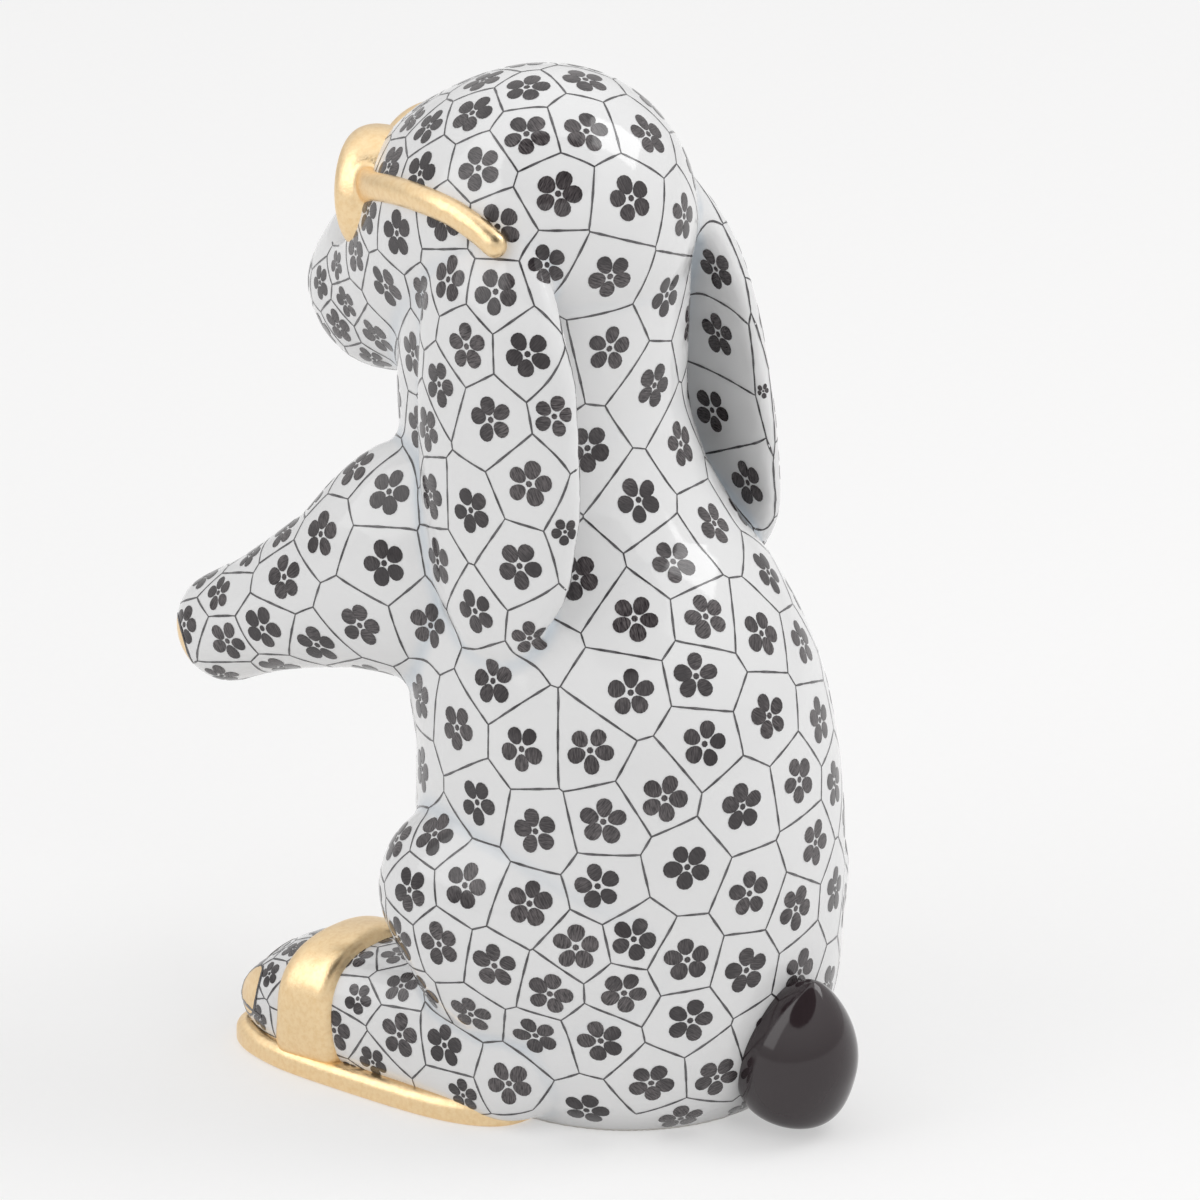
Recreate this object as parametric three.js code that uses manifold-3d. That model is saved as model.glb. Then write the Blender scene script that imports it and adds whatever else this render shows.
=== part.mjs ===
// Rabbit figurine of slip-cast porcelain, sitting up with its fore legs stretched out
// Millimetres, +Z up. The rabbit faces -Y, its left side is +X, and the origin is under its middle
import * as THREE from 'three';
import { mergeVertices } from 'three/addons/utils/BufferGeometryUtils.js';
import Module from 'manifold-3d';

const wasm = await Module();
wasm.setup();

// Casting: wall of the hollow pieces, floor, vent hole, and the slip joint between neighbours
const wall = 3;
const floorThickness = 3.5;
const ventDiameter = 10;
const ventPlace = -7.5;
const slipJoint = 0.3;
const neckLevel = 65;

// Torso, the neck included. Its rows are shares: level, lean from back to neck, width, depth
const bodyHeight = 90;
const bodyHalfWidth = 21.4;
const bodyHalfDepth = 21.5;
const bodySetback = 2.2;
const bodyLean = 11.6;
const torsoRows = [
  [-0.044, 0.172, 0.542, 0.549],
  [0.044, 0.121, 0.883, 0.884],
  [0.156, 0, 0.981, 0.986],
  [0.311, 0, 1, 1],
  [0.422, 0.103, 0.977, 0.977],
  [0.511, 0.379, 0.916, 0.921],
  [0.589, 0.647, 0.813, 0.819],
  [0.678, 0.871, 0.715, 0.726],
  [0.778, 1, 0.673, 0.679],
  [0.889, 0.991, 0.682, 0.679],
  [1, 0.966, 0.682, 0.688],
];

// Head. Its rows are shares: way from skull to nose, drop, width, height
const headLength = 45;
const headDrop = 17;
const headHalfWidth = 15.2;
const headHalfHeight = 15.4;
const headLift = 2.2;
const headSetback = 15.8;
const headRows = [
  [0, 0, 0.908, 0.935],
  [0.164, 0.071, 0.974, 0.974],
  [0.342, 0.165, 1, 1],
  [0.52, 0.359, 0.908, 0.922],
  [0.676, 0.635, 0.724, 0.753],
  [0.813, 0.853, 0.546, 0.61],
  [1, 1, 0.474, 0.494],
];
const headEnds = { startRound: 0.33, endRound: 0.18 };
const browPinch = 0.3;
const cheekBluntness = 0.72;

// Lop ear beside the neck. Its rows are shares: way out, back and down, width, thickness
const earLength = 44.1;
const earHalfWidth = 10.3;
const earHalfThickness = 2.4;
const earFlare = 7.8;
const earSweep = 5.9;
const earSink = 4.7;
const earSetback = 11.9;
const earLift = 1.3;
const earRows = [
  [0, 0, 0, 0.408, 1],
  [0.526, 0.153, 0.159, 0.777, 0.958],
  [0.744, 0.39, 0.363, 0.971, 0.875],
  [0.859, 0.559, 0.578, 1, 0.833],
  [0.936, 0.763, 0.794, 0.874, 0.792],
  [1, 1, 1, 0.544, 0.708],
];
const earEnds = { endRound: 0.17 };
const earCup = 2.6;
const earBluntness = 0.5;

// Fore leg from inside the shoulder. Its rows are shares: way out, forward and down, width, height
const armLength = 34.3;
const armHalfWidth = 8.5;
const armHalfHeight = 14.8;
const armFlare = 6;
const armDrop = 15.4;
const armInset = 13.4;
const armSetback = 0.4;
const armBelowNeck = 10.2;
const armRows = [
  [0, 0, 0, 1, 1],
  [0.583, 0.233, 0.104, 0.941, 0.865],
  [0.9, 0.466, 0.351, 0.776, 0.568],
  [1, 0.729, 0.662, 0.671, 0.412],
  [1, 1, 1, 0.612, 0.358],
];
const armEnds = { startRound: 0.1, endRound: 0.1 };

// Folded thigh from the rump to the knee. Its rows are shares: way out, forward and up, width, height
const haunchLength = 30.8;
const haunchHalfWidth = 8.6;
const haunchHalfHeight = 14;
const haunchFlare = 12;
const haunchRise = 9.8;
const haunchSink = 16.4;
const haunchSetback = 14.2;
const haunchLevel = 12.6;
const haunchRows = [
  [0, 0, 0, 0.581, 0.571],
  [0.283, 0.114, 0.143, 0.791, 0.814],
  [0.65, 0.279, 0.449, 0.942, 1],
  [0.925, 0.5, 0.796, 1, 0.957],
  [1, 0.74, 1, 0.965, 0.771],
  [1, 1, 0.918, 0.86, 0.614],
];
const haunchEnds = { startRound: 0.27, endRound: 0.27 };

// Hind foot with its toes. Its rows are shares: way from heel to toes, level, width, height
const footLength = 43.8;
const footHalfWidth = 7.5;
const footHalfHeight = 6.8;
const footInset = 6.4;
const footLevel = 7.2;
const footHeel = 8.8;
const footRows = [
  [0, 0.833, 0.827, 0.794],
  [0.272, 1, 0.933, 1],
  [0.525, 1, 0.973, 0.926],
  [0.756, 0.944, 1, 0.853],
  [1, 0.51, 0.933, 0.54],
];
const footEnds = { startRound: 0.14, endRound: 0.24 };
const footBluntness = 0.8;
const footBaseBluntness = 0.5;
const toes = 3;
const toeDepth = 0.9;
const toeStart = 0.72;

// Sandal: thin sole with rounded ends, and one broad strap over the instep
const soleThickness = 2.5;
const soleMargin = 0.9;
const soleHeelInset = 5.8;
const soleToeInset = 0.6;
const soleBluntness = 0.6;
const soleBevel = 1.1;
const strapWidth = 7;
const strapThickness = 1;
const strapBehindToes = 13.4;
const strapFlare = 0.6;
const strapFlareHeight = 5;

// Tail: a round tuft that ends in a low point
const tailRadius = 6.1;
const tailHeight = 14.1;
const tailTop = 8.4;
const tailOut = 3;
const tailLevel = 8.2;
const tailLean = -15;
const tailBase = 0.45;
const tailMiddle = 0.5;
const tailPoint = [0.3, 0.97];

// Spectacles: two round glasses joined by a bridge, and a side arm on each side of the head
const glassSpread = 5.4;
const glassDrop = 3.4;
const glassStandoff = 0.4;
const glassTurn = 20;
const glassDip = 6;
const rimRadius = 6.2;
const rimWidth = 1.5;
const rimDepth = 8;
const seatDepth = 2.2;
const rimRound = 0.6;
const glassInset = 0.9;
const lensRise = 0.6;
const bridgeHalfHeight = 1;
const bridgeAngle = 22;
const bridgeArch = 0.8;
const templeLength = 25;
const templeCrestBehind = 15.7;
const templeBehindGlass = 3.1;
const templeRise = 5.5;
const templeFrontDrop = 3.7;
const templeTipDrop = 2.6;
const templeHalfWidth = 1.5;
const templeTipHalfWidth = 1.4;
const templeThickness = 1.2;

const porcelain = { color: 0xf3f4f5, roughness: 0.12, metalness: 0 };
const blackGlaze = { color: 0x2b2426, roughness: 0.1, metalness: 0 };
const gilding = { color: 0xc9a05a, roughness: 0.34, metalness: 1 };

const acrossX = new THREE.Vector3(1, 0, 0);
const acrossY = new THREE.Vector3(0, 1, 0);
const acrossZ = new THREE.Vector3(0, 0, 1);
const degree = Math.PI / 180;

// Turns a closed geometry into a solid, moved out along its own normals by the given distance
function solidOf(geometry, outward = 0) {
  const bare = geometry.clone();
  bare.deleteAttribute('normal');
  bare.deleteAttribute('uv');
  const merged = mergeVertices(bare, 1e-4);
  const whole = [];
  for (let i = 0; i < merged.index.count; i += 3) {
    const [a, b, c] = merged.index.array.subarray(i, i + 3);
    if (a !== b && b !== c && c !== a) whole.push(a, b, c);
  }
  merged.setIndex(whole);
  merged.computeVertexNormals();
  const place = merged.attributes.position;
  const normal = merged.attributes.normal;
  const vertProperties = new Float32Array(place.count * 3);
  for (let i = 0; i < place.count; i++) {
    vertProperties[3 * i] = place.getX(i) + outward * normal.getX(i);
    vertProperties[3 * i + 1] = place.getY(i) + outward * normal.getY(i);
    vertProperties[3 * i + 2] = place.getZ(i) + outward * normal.getZ(i);
  }
  const triVerts = new Uint32Array(merged.index.array);
  const mesh = new wasm.Mesh({ numProp: 3, vertProperties, triVerts });
  mesh.merge();
  return new wasm.Manifold(mesh);
}

// The part of a solid that is left after slivers are dropped
function largestOf(solid) {
  const pieces = solid.decompose();
  return pieces.reduce((best, piece) => (piece.volume() > best.volume() ? piece : best));
}

function boxSolid(x, y, z, centre) {
  const box = new THREE.BoxGeometry(x, y, z);
  box.translate(centre.x, centre.y, centre.z);
  return solidOf(box);
}

// Sizes of a form at one place along it, between the two sections on either side
function sectionAt(sections, along, place) {
  const upward = sections[1][along] > sections[0][along];
  const found = sections.findIndex((section) => (upward ? section[along] >= place : section[along] <= place));
  const next = found < 0 ? sections.length - 1 : Math.max(1, found);
  const [before, after] = [sections[next - 1], sections[next]];
  const span = after[along] - before[along];
  const share = THREE.MathUtils.clamp((place - before[along]) / span, 0, 1);
  const sizes = Object.keys(before).map((key) => [key, THREE.MathUtils.lerp(before[key], after[key], share)]);
  return Object.fromEntries(sizes);
}

// A sine or cosine flattened near its ends, so that a round outline turns blunt
function blunt(value, power) {
  return Math.sign(value) * Math.abs(value) ** power;
}

const reach = 400;

function above(level) {
  return boxSolid(reach, reach, reach, new THREE.Vector3(0, 0, level + reach / 2));
}

function below(level) {
  return boxSolid(reach, reach, reach, new THREE.Vector3(0, 0, level - reach / 2));
}

// Stations along a swept form: crowded at a rounded end, even in between
function stations(rings, startRound, endRound) {
  const steps = 5;
  const list = [];
  for (let i = 0; i < steps && startRound > 0; i++) {
    const angle = (i / steps) * 90 * degree;
    list.push({ t: startRound * (1 - Math.cos(angle)), scale: Math.sin(angle) });
  }
  for (let i = 0; i <= rings; i++) {
    list.push({ t: startRound + ((1 - startRound - endRound) * i) / rings, scale: 1 });
  }
  for (let i = steps - 1; i >= 0 && endRound > 0; i--) {
    const angle = (i / steps) * 90 * degree;
    list.push({ t: 1 - endRound * (1 - Math.cos(angle)), scale: Math.sin(angle) });
  }
  return list;
}

function oval(angle, across, deep) {
  return [across * Math.cos(angle), deep * Math.sin(angle)];
}

// A closed form swept through sections. Each has its centre and two half sizes: across lies along
// the given axis, deep is square to it and to the line of centres. A round end closes in a dome
function sweep({ centres, sizes, axis, sides, rings, startRound = 0, endRound = 0, outline = oval }) {
  const line = new THREE.CatmullRomCurve3(centres);
  const halves = new THREE.CatmullRomCurve3(sizes.map(([a, b]) => new THREE.Vector3(a, b, 0)));
  const list = stations(rings, startRound, endRound);
  const points = [];
  const faces = [];
  for (const { t, scale } of list) {
    const centre = line.getPoint(t);
    const ahead = line.getTangent(t);
    const across = axis.clone().addScaledVector(ahead, -axis.dot(ahead)).normalize();
    const deep = new THREE.Vector3().crossVectors(ahead, across);
    const half = halves.getPoint(t);
    for (let j = 0; j < sides; j++) {
      const angle = (j / sides) * 360 * degree;
      const [u, w] = outline(angle, half.x * scale, half.y * scale, t, scale);
      points.push(centre.clone().addScaledVector(across, u).addScaledVector(deep, w));
    }
  }
  for (let i = 0; i + 1 < list.length; i++) {
    for (let j = 0; j < sides; j++) {
      const a = i * sides + j;
      const b = i * sides + ((j + 1) % sides);
      if (list[i].scale > 0) faces.push(a, b, a + sides);
      if (list[i + 1].scale > 0) faces.push(b, b + sides, a + sides);
    }
  }
  const last = (list.length - 1) * sides;
  for (let j = 1; j + 1 < sides; j++) {
    if (list[0].scale > 0) faces.push(0, j + 1, j);
    if (list[list.length - 1].scale > 0) faces.push(last, last + j, last + j + 1);
  }
  const geometry = new THREE.BufferGeometry().setFromPoints(points);
  geometry.setIndex(faces);
  return geometry;
}

// Places and sizes along each form, from its rows and named lengths
const neckBack = bodySetback - bodyLean;
const torsoSections = torsoRows.map(([level, lean, width, depth]) => ({
  y: bodySetback - bodyLean * lean,
  z: bodyHeight * level,
  halfWidth: bodyHalfWidth * width,
  halfDepth: bodyHalfDepth * depth,
}));

const skullBack = neckBack + headSetback;
const skullLevel = bodyHeight + headLift;
const headSections = headRows.map(([way, drop, width, height]) => ({
  y: skullBack - headLength * way,
  z: skullLevel - headDrop * drop,
  halfWidth: headHalfWidth * width,
  halfHeight: headHalfHeight * height,
}));

const earSections = earRows.map(([out, back, down, width, thick]) => ({
  x: headHalfWidth - earSink + earFlare * out,
  y: skullBack - earSetback + earSweep * back,
  z: skullLevel + earLift - earLength * down,
  halfWidth: earHalfWidth * width,
  halfThickness: earHalfThickness * thick,
}));

const armSections = armRows.map(([out, forward, down, width, height]) => ({
  x: bodyHalfWidth - armInset + armFlare * out,
  y: neckBack + armSetback - armLength * forward,
  z: neckLevel - armBelowNeck - armDrop * down,
  halfWidth: armHalfWidth * width,
  halfHeight: armHalfHeight * height,
}));

const haunchSections = haunchRows.map(([out, forward, up, width, height]) => ({
  x: bodyHalfWidth - haunchSink + haunchFlare * out,
  y: bodySetback + haunchSetback - haunchLength * forward,
  z: haunchLevel + haunchRise * up,
  halfWidth: haunchHalfWidth * width,
  halfHeight: haunchHalfHeight * height,
}));

const footSections = footRows.map(([forward, level, width, height]) => ({
  y: footHeel - footLength * forward,
  z: footLevel * level,
  halfWidth: footHalfWidth * width,
  halfHeight: footHalfHeight * height,
}));
const footToe = footHeel - footLength;
const footMiddle = bodyHalfWidth - footInset;

// Torso and head, which carry everything else
function torsoForm(sides, rings) {
  return sweep({
    centres: torsoSections.map(({ y, z }) => new THREE.Vector3(0, y, z)),
    sizes: torsoSections.map(({ halfWidth, halfDepth }) => [halfWidth, halfDepth]),
    axis: acrossX,
    sides,
    rings,
  });
}

const headCentres = headSections.map(({ y, z }) => new THREE.Vector3(0, y, z));
const headSizes = headSections.map(({ halfWidth, halfHeight }) => [halfWidth, halfHeight]);

// Head: round at the skull; towards the nose its top narrows between the eyes and its cheeks fill out
function headOutline(angle, across, high, t) {
  const forward = THREE.MathUtils.smoothstep(t, 0.45, 0.7);
  const rise = Math.sin(angle);
  const pinch = rise > 0 ? 1 - browPinch * forward * rise * rise : 1;
  const power = rise < 0 ? THREE.MathUtils.lerp(1, cheekBluntness, forward) : 1;
  return [across * blunt(Math.cos(angle), power) * pinch, high * rise];
}

function headForm(sides, rings) {
  return sweep({
    centres: headCentres,
    sizes: headSizes,
    axis: acrossX,
    sides,
    rings,
    outline: headOutline,
    ...headEnds,
  });
}

const core = solidOf(torsoForm(30, 18)).add(solidOf(headForm(28, 9)));

// Half width of the head at one place on its side, or nothing where that place lies above or below it
function headSide(y, z) {
  const line = new THREE.CatmullRomCurve3(headCentres);
  const halves = new THREE.CatmullRomCurve3(headSizes.map(([a, b]) => new THREE.Vector3(a, b, 0)));
  const target = new THREE.Vector3(0, y, z);
  const steps = 200;
  let nearest = 0;
  let least = Infinity;
  for (let i = 0; i <= steps; i++) {
    const off = Math.abs(target.clone().sub(line.getPoint(i / steps)).dot(line.getTangent(i / steps)));
    if (off < least) {
      least = off;
      nearest = i / steps;
    }
  }
  const half = halves.getPoint(nearest);
  const rise = target.distanceTo(line.getPoint(nearest)) / half.y;
  return rise < 1 ? headOutline(Math.asin(rise), half.x, half.y, nearest)[0] : 0;
}

// Where a line along Y at the given place across and up meets the face
function faceAt(x, z) {
  const step = 0.1;
  let y = skullBack - 1.5 * headLength;
  while (y < skullBack && headSide(y, z) < x) y += step;
  return y;
}

// Glasses: each is turned and dipped about its own middle, with its front at y = 0
const glassLevel = skullLevel - glassDrop;
const glassFront = faceAt(glassSpread, glassLevel) - glassStandoff;

function placeGlass(geometry) {
  geometry.rotateX(glassDip * degree);
  geometry.rotateZ(glassTurn * degree);
  geometry.translate(glassSpread, glassFront, glassLevel);
  return geometry;
}

function glassDisc(radius, front, back, segments) {
  const disc = new THREE.CylinderGeometry(radius, radius, back - front, segments);
  disc.translate(0, (front + back) / 2, 0);
  return placeGlass(disc);
}

function mirrored(geometry) {
  const copy = geometry.clone();
  copy.scale(-1, 1, 1);
  const order = copy.index.array;
  for (let i = 0; i < order.length; i += 3) [order[i], order[i + 1]] = [order[i + 1], order[i]];
  return copy;
}

const coreClear = solidOf(torsoForm(30, 18), slipJoint).add(solidOf(headForm(28, 9), slipJoint));

// Seats of the glasses, sunk in the face. The muzzle laps over the rims but leaves the lenses open
function seatPair(depth) {
  const seat = glassDisc(rimRadius + slipJoint, -slipJoint, depth, 30);
  const opening = glassDisc(rimRadius - rimWidth, -2 * rimDepth, depth, 30);
  const left = solidOf(seat).add(solidOf(opening));
  const right = solidOf(mirrored(seat)).add(solidOf(mirrored(opening)));
  return left.add(right);
}

const faceClear = coreClear.subtract(seatPair(seatDepth));
const cavity = solidOf(torsoForm(16, 13), -wall)
  .add(solidOf(headForm(20, 6), -wall))
  .intersect(above(floorThickness));
const ventGeometry = new THREE.CylinderGeometry(ventDiameter / 2, ventDiameter / 2, 4 * floorThickness, 16);
ventGeometry.rotateX(90 * degree);
ventGeometry.translate(0, ventPlace, 0);
const shell = core
  .intersect(above(0))
  .subtract(cavity)
  .subtract(seatPair(seatDepth + slipJoint))
  .subtract(solidOf(ventGeometry));
const torso = largestOf(shell.intersect(below(neckLevel - slipJoint / 2)));
const head = largestOf(shell.intersect(above(neckLevel + slipJoint / 2)));

// Fore leg, cut to the chest it is stuck on
const armGeometry = sweep({
  centres: armSections.map(({ x, y, z }) => new THREE.Vector3(x, y, z)),
  sizes: armSections.map(({ halfWidth, halfHeight }) => [halfWidth, halfHeight]),
  axis: acrossX,
  sides: 20,
  rings: 8,
  ...armEnds,
});
const arm = largestOf(solidOf(armGeometry).subtract(coreClear));
const armClear = solidOf(armGeometry, slipJoint);

// Thigh, cut to the flank
const haunchGeometry = sweep({
  centres: haunchSections.map(({ x, y, z }) => new THREE.Vector3(x, y, z)),
  sizes: haunchSections.map(({ halfWidth, halfHeight }) => [halfWidth, halfHeight]),
  axis: acrossX,
  sides: 26,
  rings: 9,
  ...haunchEnds,
});
const haunch = largestOf(solidOf(haunchGeometry).subtract(coreClear).intersect(above(0)));
const haunchClear = solidOf(haunchGeometry, slipJoint);

// Foot: its outline is squared, and grooves between the toes run out on the instep
function footOutline(angle, across, high, t, scale) {
  const side = Math.cos(angle);
  const rise = Math.sin(angle);
  const front = rise > 0 ? THREE.MathUtils.smoothstep(t, toeStart, 1) : 0;
  const groove = 1 - Math.abs(Math.sin(toes * 90 * degree * (side + 1)));
  const top = high - toeDepth * front * groove * scale;
  const power = rise < 0 ? footBaseBluntness : footBluntness;
  return [across * blunt(side, power), top * blunt(rise, power)];
}

const footGeometry = sweep({
  centres: footSections.map(({ y, z }) => new THREE.Vector3(footMiddle, y, z)),
  sizes: footSections.map(({ halfWidth, halfHeight }) => [halfWidth, halfHeight]),
  axis: acrossX,
  sides: 28,
  rings: 9,
  outline: footOutline,
  ...footEnds,
});
const soleTop = above(soleThickness + slipJoint);
const foot = largestOf(solidOf(footGeometry).subtract(coreClear).subtract(haunchClear).intersect(soleTop));
const footClear = solidOf(footGeometry, slipJoint);

// Sandal sole: the outline of the foot with a margin, and blunt round ends
const soleHeel = footHeel - soleHeelInset;
const soleToe = footToe + soleToeInset;

function soleShape() {
  const steps = 36;
  const middle = (soleHeel + soleToe) / 2;
  const half = (soleHeel - soleToe) / 2;
  const points = [];
  for (let i = 0; i < steps; i++) {
    const angle = (i / steps) * 360 * degree;
    const y = middle + half * blunt(Math.sin(angle), soleBluntness);
    const halfWidth = sectionAt(footSections, 'y', y).halfWidth + soleMargin;
    points.push(new THREE.Vector2(halfWidth * blunt(Math.cos(angle), soleBluntness), y));
  }
  return new THREE.Shape(points);
}

const soleGeometry = new THREE.ExtrudeGeometry(soleShape(), {
  depth: soleThickness - 2 * soleBevel,
  bevelThickness: soleBevel,
  bevelSize: soleBevel,
  bevelOffset: -soleBevel,
  bevelSegments: 3,
  curveSegments: 10,
});
soleGeometry.translate(footMiddle, 0, soleBevel);
const sole = largestOf(solidOf(soleGeometry).subtract(coreClear).subtract(haunchClear));

// Sandal strap: a band of even thickness that follows the instep
const strapMiddle = footToe + strapBehindToes;
const strapFoot = soleThickness + slipJoint;
const strapTop = footLevel + 2 * footHalfHeight;
const strapSide = new THREE.Shape();
strapSide.moveTo(strapMiddle - strapWidth / 2, strapTop);
strapSide.lineTo(strapMiddle - strapWidth / 2, strapFoot + strapFlareHeight);
strapSide.quadraticCurveTo(
  strapMiddle - strapWidth / 2, strapFoot, strapMiddle - strapWidth / 2 - strapFlare, strapFoot,
);
strapSide.lineTo(strapMiddle + strapWidth / 2 + strapFlare, strapFoot);
strapSide.quadraticCurveTo(
  strapMiddle + strapWidth / 2, strapFoot, strapMiddle + strapWidth / 2, strapFoot + strapFlareHeight,
);
strapSide.lineTo(strapMiddle + strapWidth / 2, strapTop);
const strapBand = new THREE.ExtrudeGeometry(strapSide, {
  depth: 2 * bodyHalfWidth,
  bevelEnabled: false,
  curveSegments: 5,
});
strapBand.rotateX(90 * degree);
strapBand.rotateZ(90 * degree);
const strap = largestOf(solidOf(footGeometry, slipJoint + strapThickness)
  .subtract(footClear)
  .intersect(solidOf(strapBand))
  .subtract(coreClear)
  .subtract(haunchClear));

// Tail: a ball drawn up to a low point
const rump = sectionAt(torsoSections, 'z', tailLevel);
const tailPath = new THREE.Path();
const tailBottom = tailTop - tailHeight;
tailPath.moveTo(0, tailBottom);
tailPath.lineTo(tailBase * tailRadius, tailBottom);
tailPath.quadraticCurveTo(tailRadius, tailBottom, tailRadius, 0);
tailPath.bezierCurveTo(
  tailRadius, tailMiddle * tailTop, tailPoint[0] * tailRadius, tailPoint[1] * tailTop, 0, tailTop,
);
const tailGeometry = new THREE.LatheGeometry(tailPath.getPoints(7), 18);
tailGeometry.rotateX(90 * degree + tailLean * degree);
tailGeometry.translate(0, rump.y + rump.halfDepth + tailOut, tailLevel);
const tail = largestOf(solidOf(tailGeometry).subtract(coreClear).subtract(haunchClear));

// Ear: a flap bent round the head, blunt at its rim
function earOutline(angle, across, thick) {
  const edge = across * Math.cos(angle);
  const bend = earCup * (edge / earHalfWidth) ** 2;
  return [edge, thick * blunt(Math.sin(angle), earBluntness) - bend];
}

const earGeometry = sweep({
  centres: earSections.map(({ x, y, z }) => new THREE.Vector3(x, y, z)),
  sizes: earSections.map(({ halfWidth, halfThickness }) => [halfWidth, halfThickness]),
  axis: acrossY,
  sides: 20,
  rings: 11,
  outline: earOutline,
  ...earEnds,
});
const ear = largestOf(solidOf(earGeometry).subtract(coreClear).subtract(armClear));
const earClear = solidOf(earGeometry, slipJoint);

function lathe(points, segments) {
  return new THREE.LatheGeometry(points.map(([x, y]) => new THREE.Vector2(x, y)), segments);
}

// Rims: rings with a rounded front, cut to the face behind them
function rimGeometry(outward) {
  const outer = rimRadius + outward;
  const inner = rimRadius - rimWidth - outward;
  return placeGlass(lathe([
    [inner, rimDepth],
    [inner, rimRound],
    [inner + 0.3 * rimRound, 0.3 * rimRound - outward],
    [inner + rimRound, -outward],
    [outer - rimRound, -outward],
    [outer - 0.3 * rimRound, 0.3 * rimRound - outward],
    [outer, rimRound],
    [outer, rimDepth],
    [inner, rimDepth],
  ], 30));
}

const lensRadius = rimRadius - rimWidth - slipJoint;
const lensSteps = [0, 0.35, 0.7, 1];
const lensGeometry = placeGlass(lathe([
  ...lensSteps.map((share) => [share * lensRadius, glassInset - lensRise * (1 - share * share)]),
  [lensRadius, rimDepth],
  [0, rimDepth],
], 26));

// Bridge: a bar from rim to rim over the nose
const bridgeReach = rimRadius - rimWidth / 2;
const bridgeStart = new THREE.Vector3(
  -bridgeReach * Math.cos(bridgeAngle * degree),
  bridgeHalfHeight,
  bridgeReach * Math.sin(bridgeAngle * degree),
)
  .applyAxisAngle(acrossX, glassDip * degree)
  .applyAxisAngle(acrossZ, glassTurn * degree)
  .add(new THREE.Vector3(glassSpread, glassFront, glassLevel));
const bridgeGeometry = sweep({
  centres: [
    bridgeStart.clone().setX(-bridgeStart.x - rimWidth / 2),
    new THREE.Vector3(0, bridgeStart.y - bridgeArch, bridgeStart.z + bridgeArch / 2),
    bridgeStart.clone().setX(bridgeStart.x + rimWidth / 2),
  ],
  sizes: [0, 1, 2].map(() => [bridgeHalfHeight, bridgeHalfHeight]),
  axis: acrossZ,
  sides: 12,
  rings: 6,
});

const boreGeometry = glassDisc(bridgeReach, -rimDepth, 2 * rimDepth, 24);
const rimPair = solidOf(rimGeometry(0)).add(solidOf(mirrored(rimGeometry(0))));
const borePair = solidOf(boreGeometry).add(solidOf(mirrored(boreGeometry)));
const bridge = solidOf(bridgeGeometry).subtract(borePair);
const sightGeometry = glassDisc(lensRadius + slipJoint / 2, -rimDepth, 2 * rimDepth, 26);
const sightPair = solidOf(sightGeometry).add(solidOf(mirrored(sightGeometry)));
const rims = largestOf(rimPair.add(bridge).subtract(sightPair).subtract(faceClear));
const lens = largestOf(solidOf(lensGeometry).subtract(faceClear));

// Side arm of the spectacles: a half round strip along the side of the head
const templeStart = glassFront + templeBehindGlass;
const templeCrest = templeStart + templeCrestBehind;
const templeEnd = templeStart + templeLength;

function templeLevel(y) {
  const front = y < templeCrest;
  const span = front ? templeCrest - templeStart : templeEnd - templeCrest;
  const drop = front ? templeFrontDrop : templeTipDrop;
  return glassLevel + templeRise - drop * ((y - templeCrest) / span) ** 2;
}

const templeShares = [0, 0.2, 0.4, 0.6, 0.8, 1];
const templeGeometry = sweep({
  centres: templeShares.map((share) => {
    const y = THREE.MathUtils.lerp(templeStart, templeEnd, share);
    const z = templeLevel(y);
    return new THREE.Vector3(headSide(y, z), y, z);
  }),
  sizes: templeShares.map((share) => [
    THREE.MathUtils.lerp(templeHalfWidth, templeTipHalfWidth, share),
    templeThickness,
  ]),
  axis: acrossZ,
  sides: 12,
  rings: 10,
  endRound: templeTipHalfWidth / templeLength,
});
const rimClear = solidOf(rimGeometry(slipJoint));
const temple = largestOf(solidOf(templeGeometry).subtract(coreClear).subtract(rimClear).subtract(earClear));

// A mesh of one piece, held at its own middle; a right-hand piece mirrors the left-hand one
function piece(name, solid, finish, mirrored = false) {
  const { vertProperties, triVerts, numProp } = solid.asOriginal().simplify(0.02).getMesh();
  const points = [];
  const flip = mirrored ? -1 : 1;
  for (let i = 0; i < vertProperties.length; i += numProp) {
    points.push(new THREE.Vector3(flip * vertProperties[i], vertProperties[i + 1], vertProperties[i + 2]));
  }
  const faces = [];
  for (let i = 0; i < triVerts.length; i += 3) {
    const [a, b, c] = triVerts.subarray(i, i + 3);
    faces.push(a, mirrored ? c : b, mirrored ? b : c);
  }
  const geometry = new THREE.BufferGeometry().setFromPoints(points);
  geometry.setIndex(faces);
  const middle = new THREE.Box3().setFromBufferAttribute(geometry.attributes.position)
    .getCenter(new THREE.Vector3());
  geometry.translate(-middle.x, -middle.y, -middle.z);
  geometry.computeVertexNormals();
  const mesh = new THREE.Mesh(geometry, new THREE.MeshStandardMaterial(finish));
  mesh.name = name;
  mesh.position.copy(middle);
  return mesh;
}

function pair(name, solid, finish) {
  return [piece(`${name}_left`, solid, finish), piece(`${name}_right`, solid, finish, true)];
}

const body = new THREE.Group();
body.add(piece('torso', torso, porcelain), ...pair('arm', arm, porcelain), piece('tail', tail, blackGlaze));

const hindLegs = new THREE.Group();
hindLegs.add(...pair('haunch', haunch, porcelain), ...pair('foot', foot, porcelain));
hindLegs.add(...pair('sandal_sole', sole, gilding), ...pair('sandal_strap', strap, gilding));

const headGroup = new THREE.Group();
headGroup.add(piece('head', head, porcelain), ...pair('ear', ear, porcelain));
headGroup.add(piece('spectacle_rims', rims, gilding), ...pair('lens', lens, blackGlaze));
headGroup.add(...pair('temple', temple, gilding));

const rabbit = new THREE.Group();
rabbit.add(body, hindLegs, headGroup);

export default rabbit;
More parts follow.
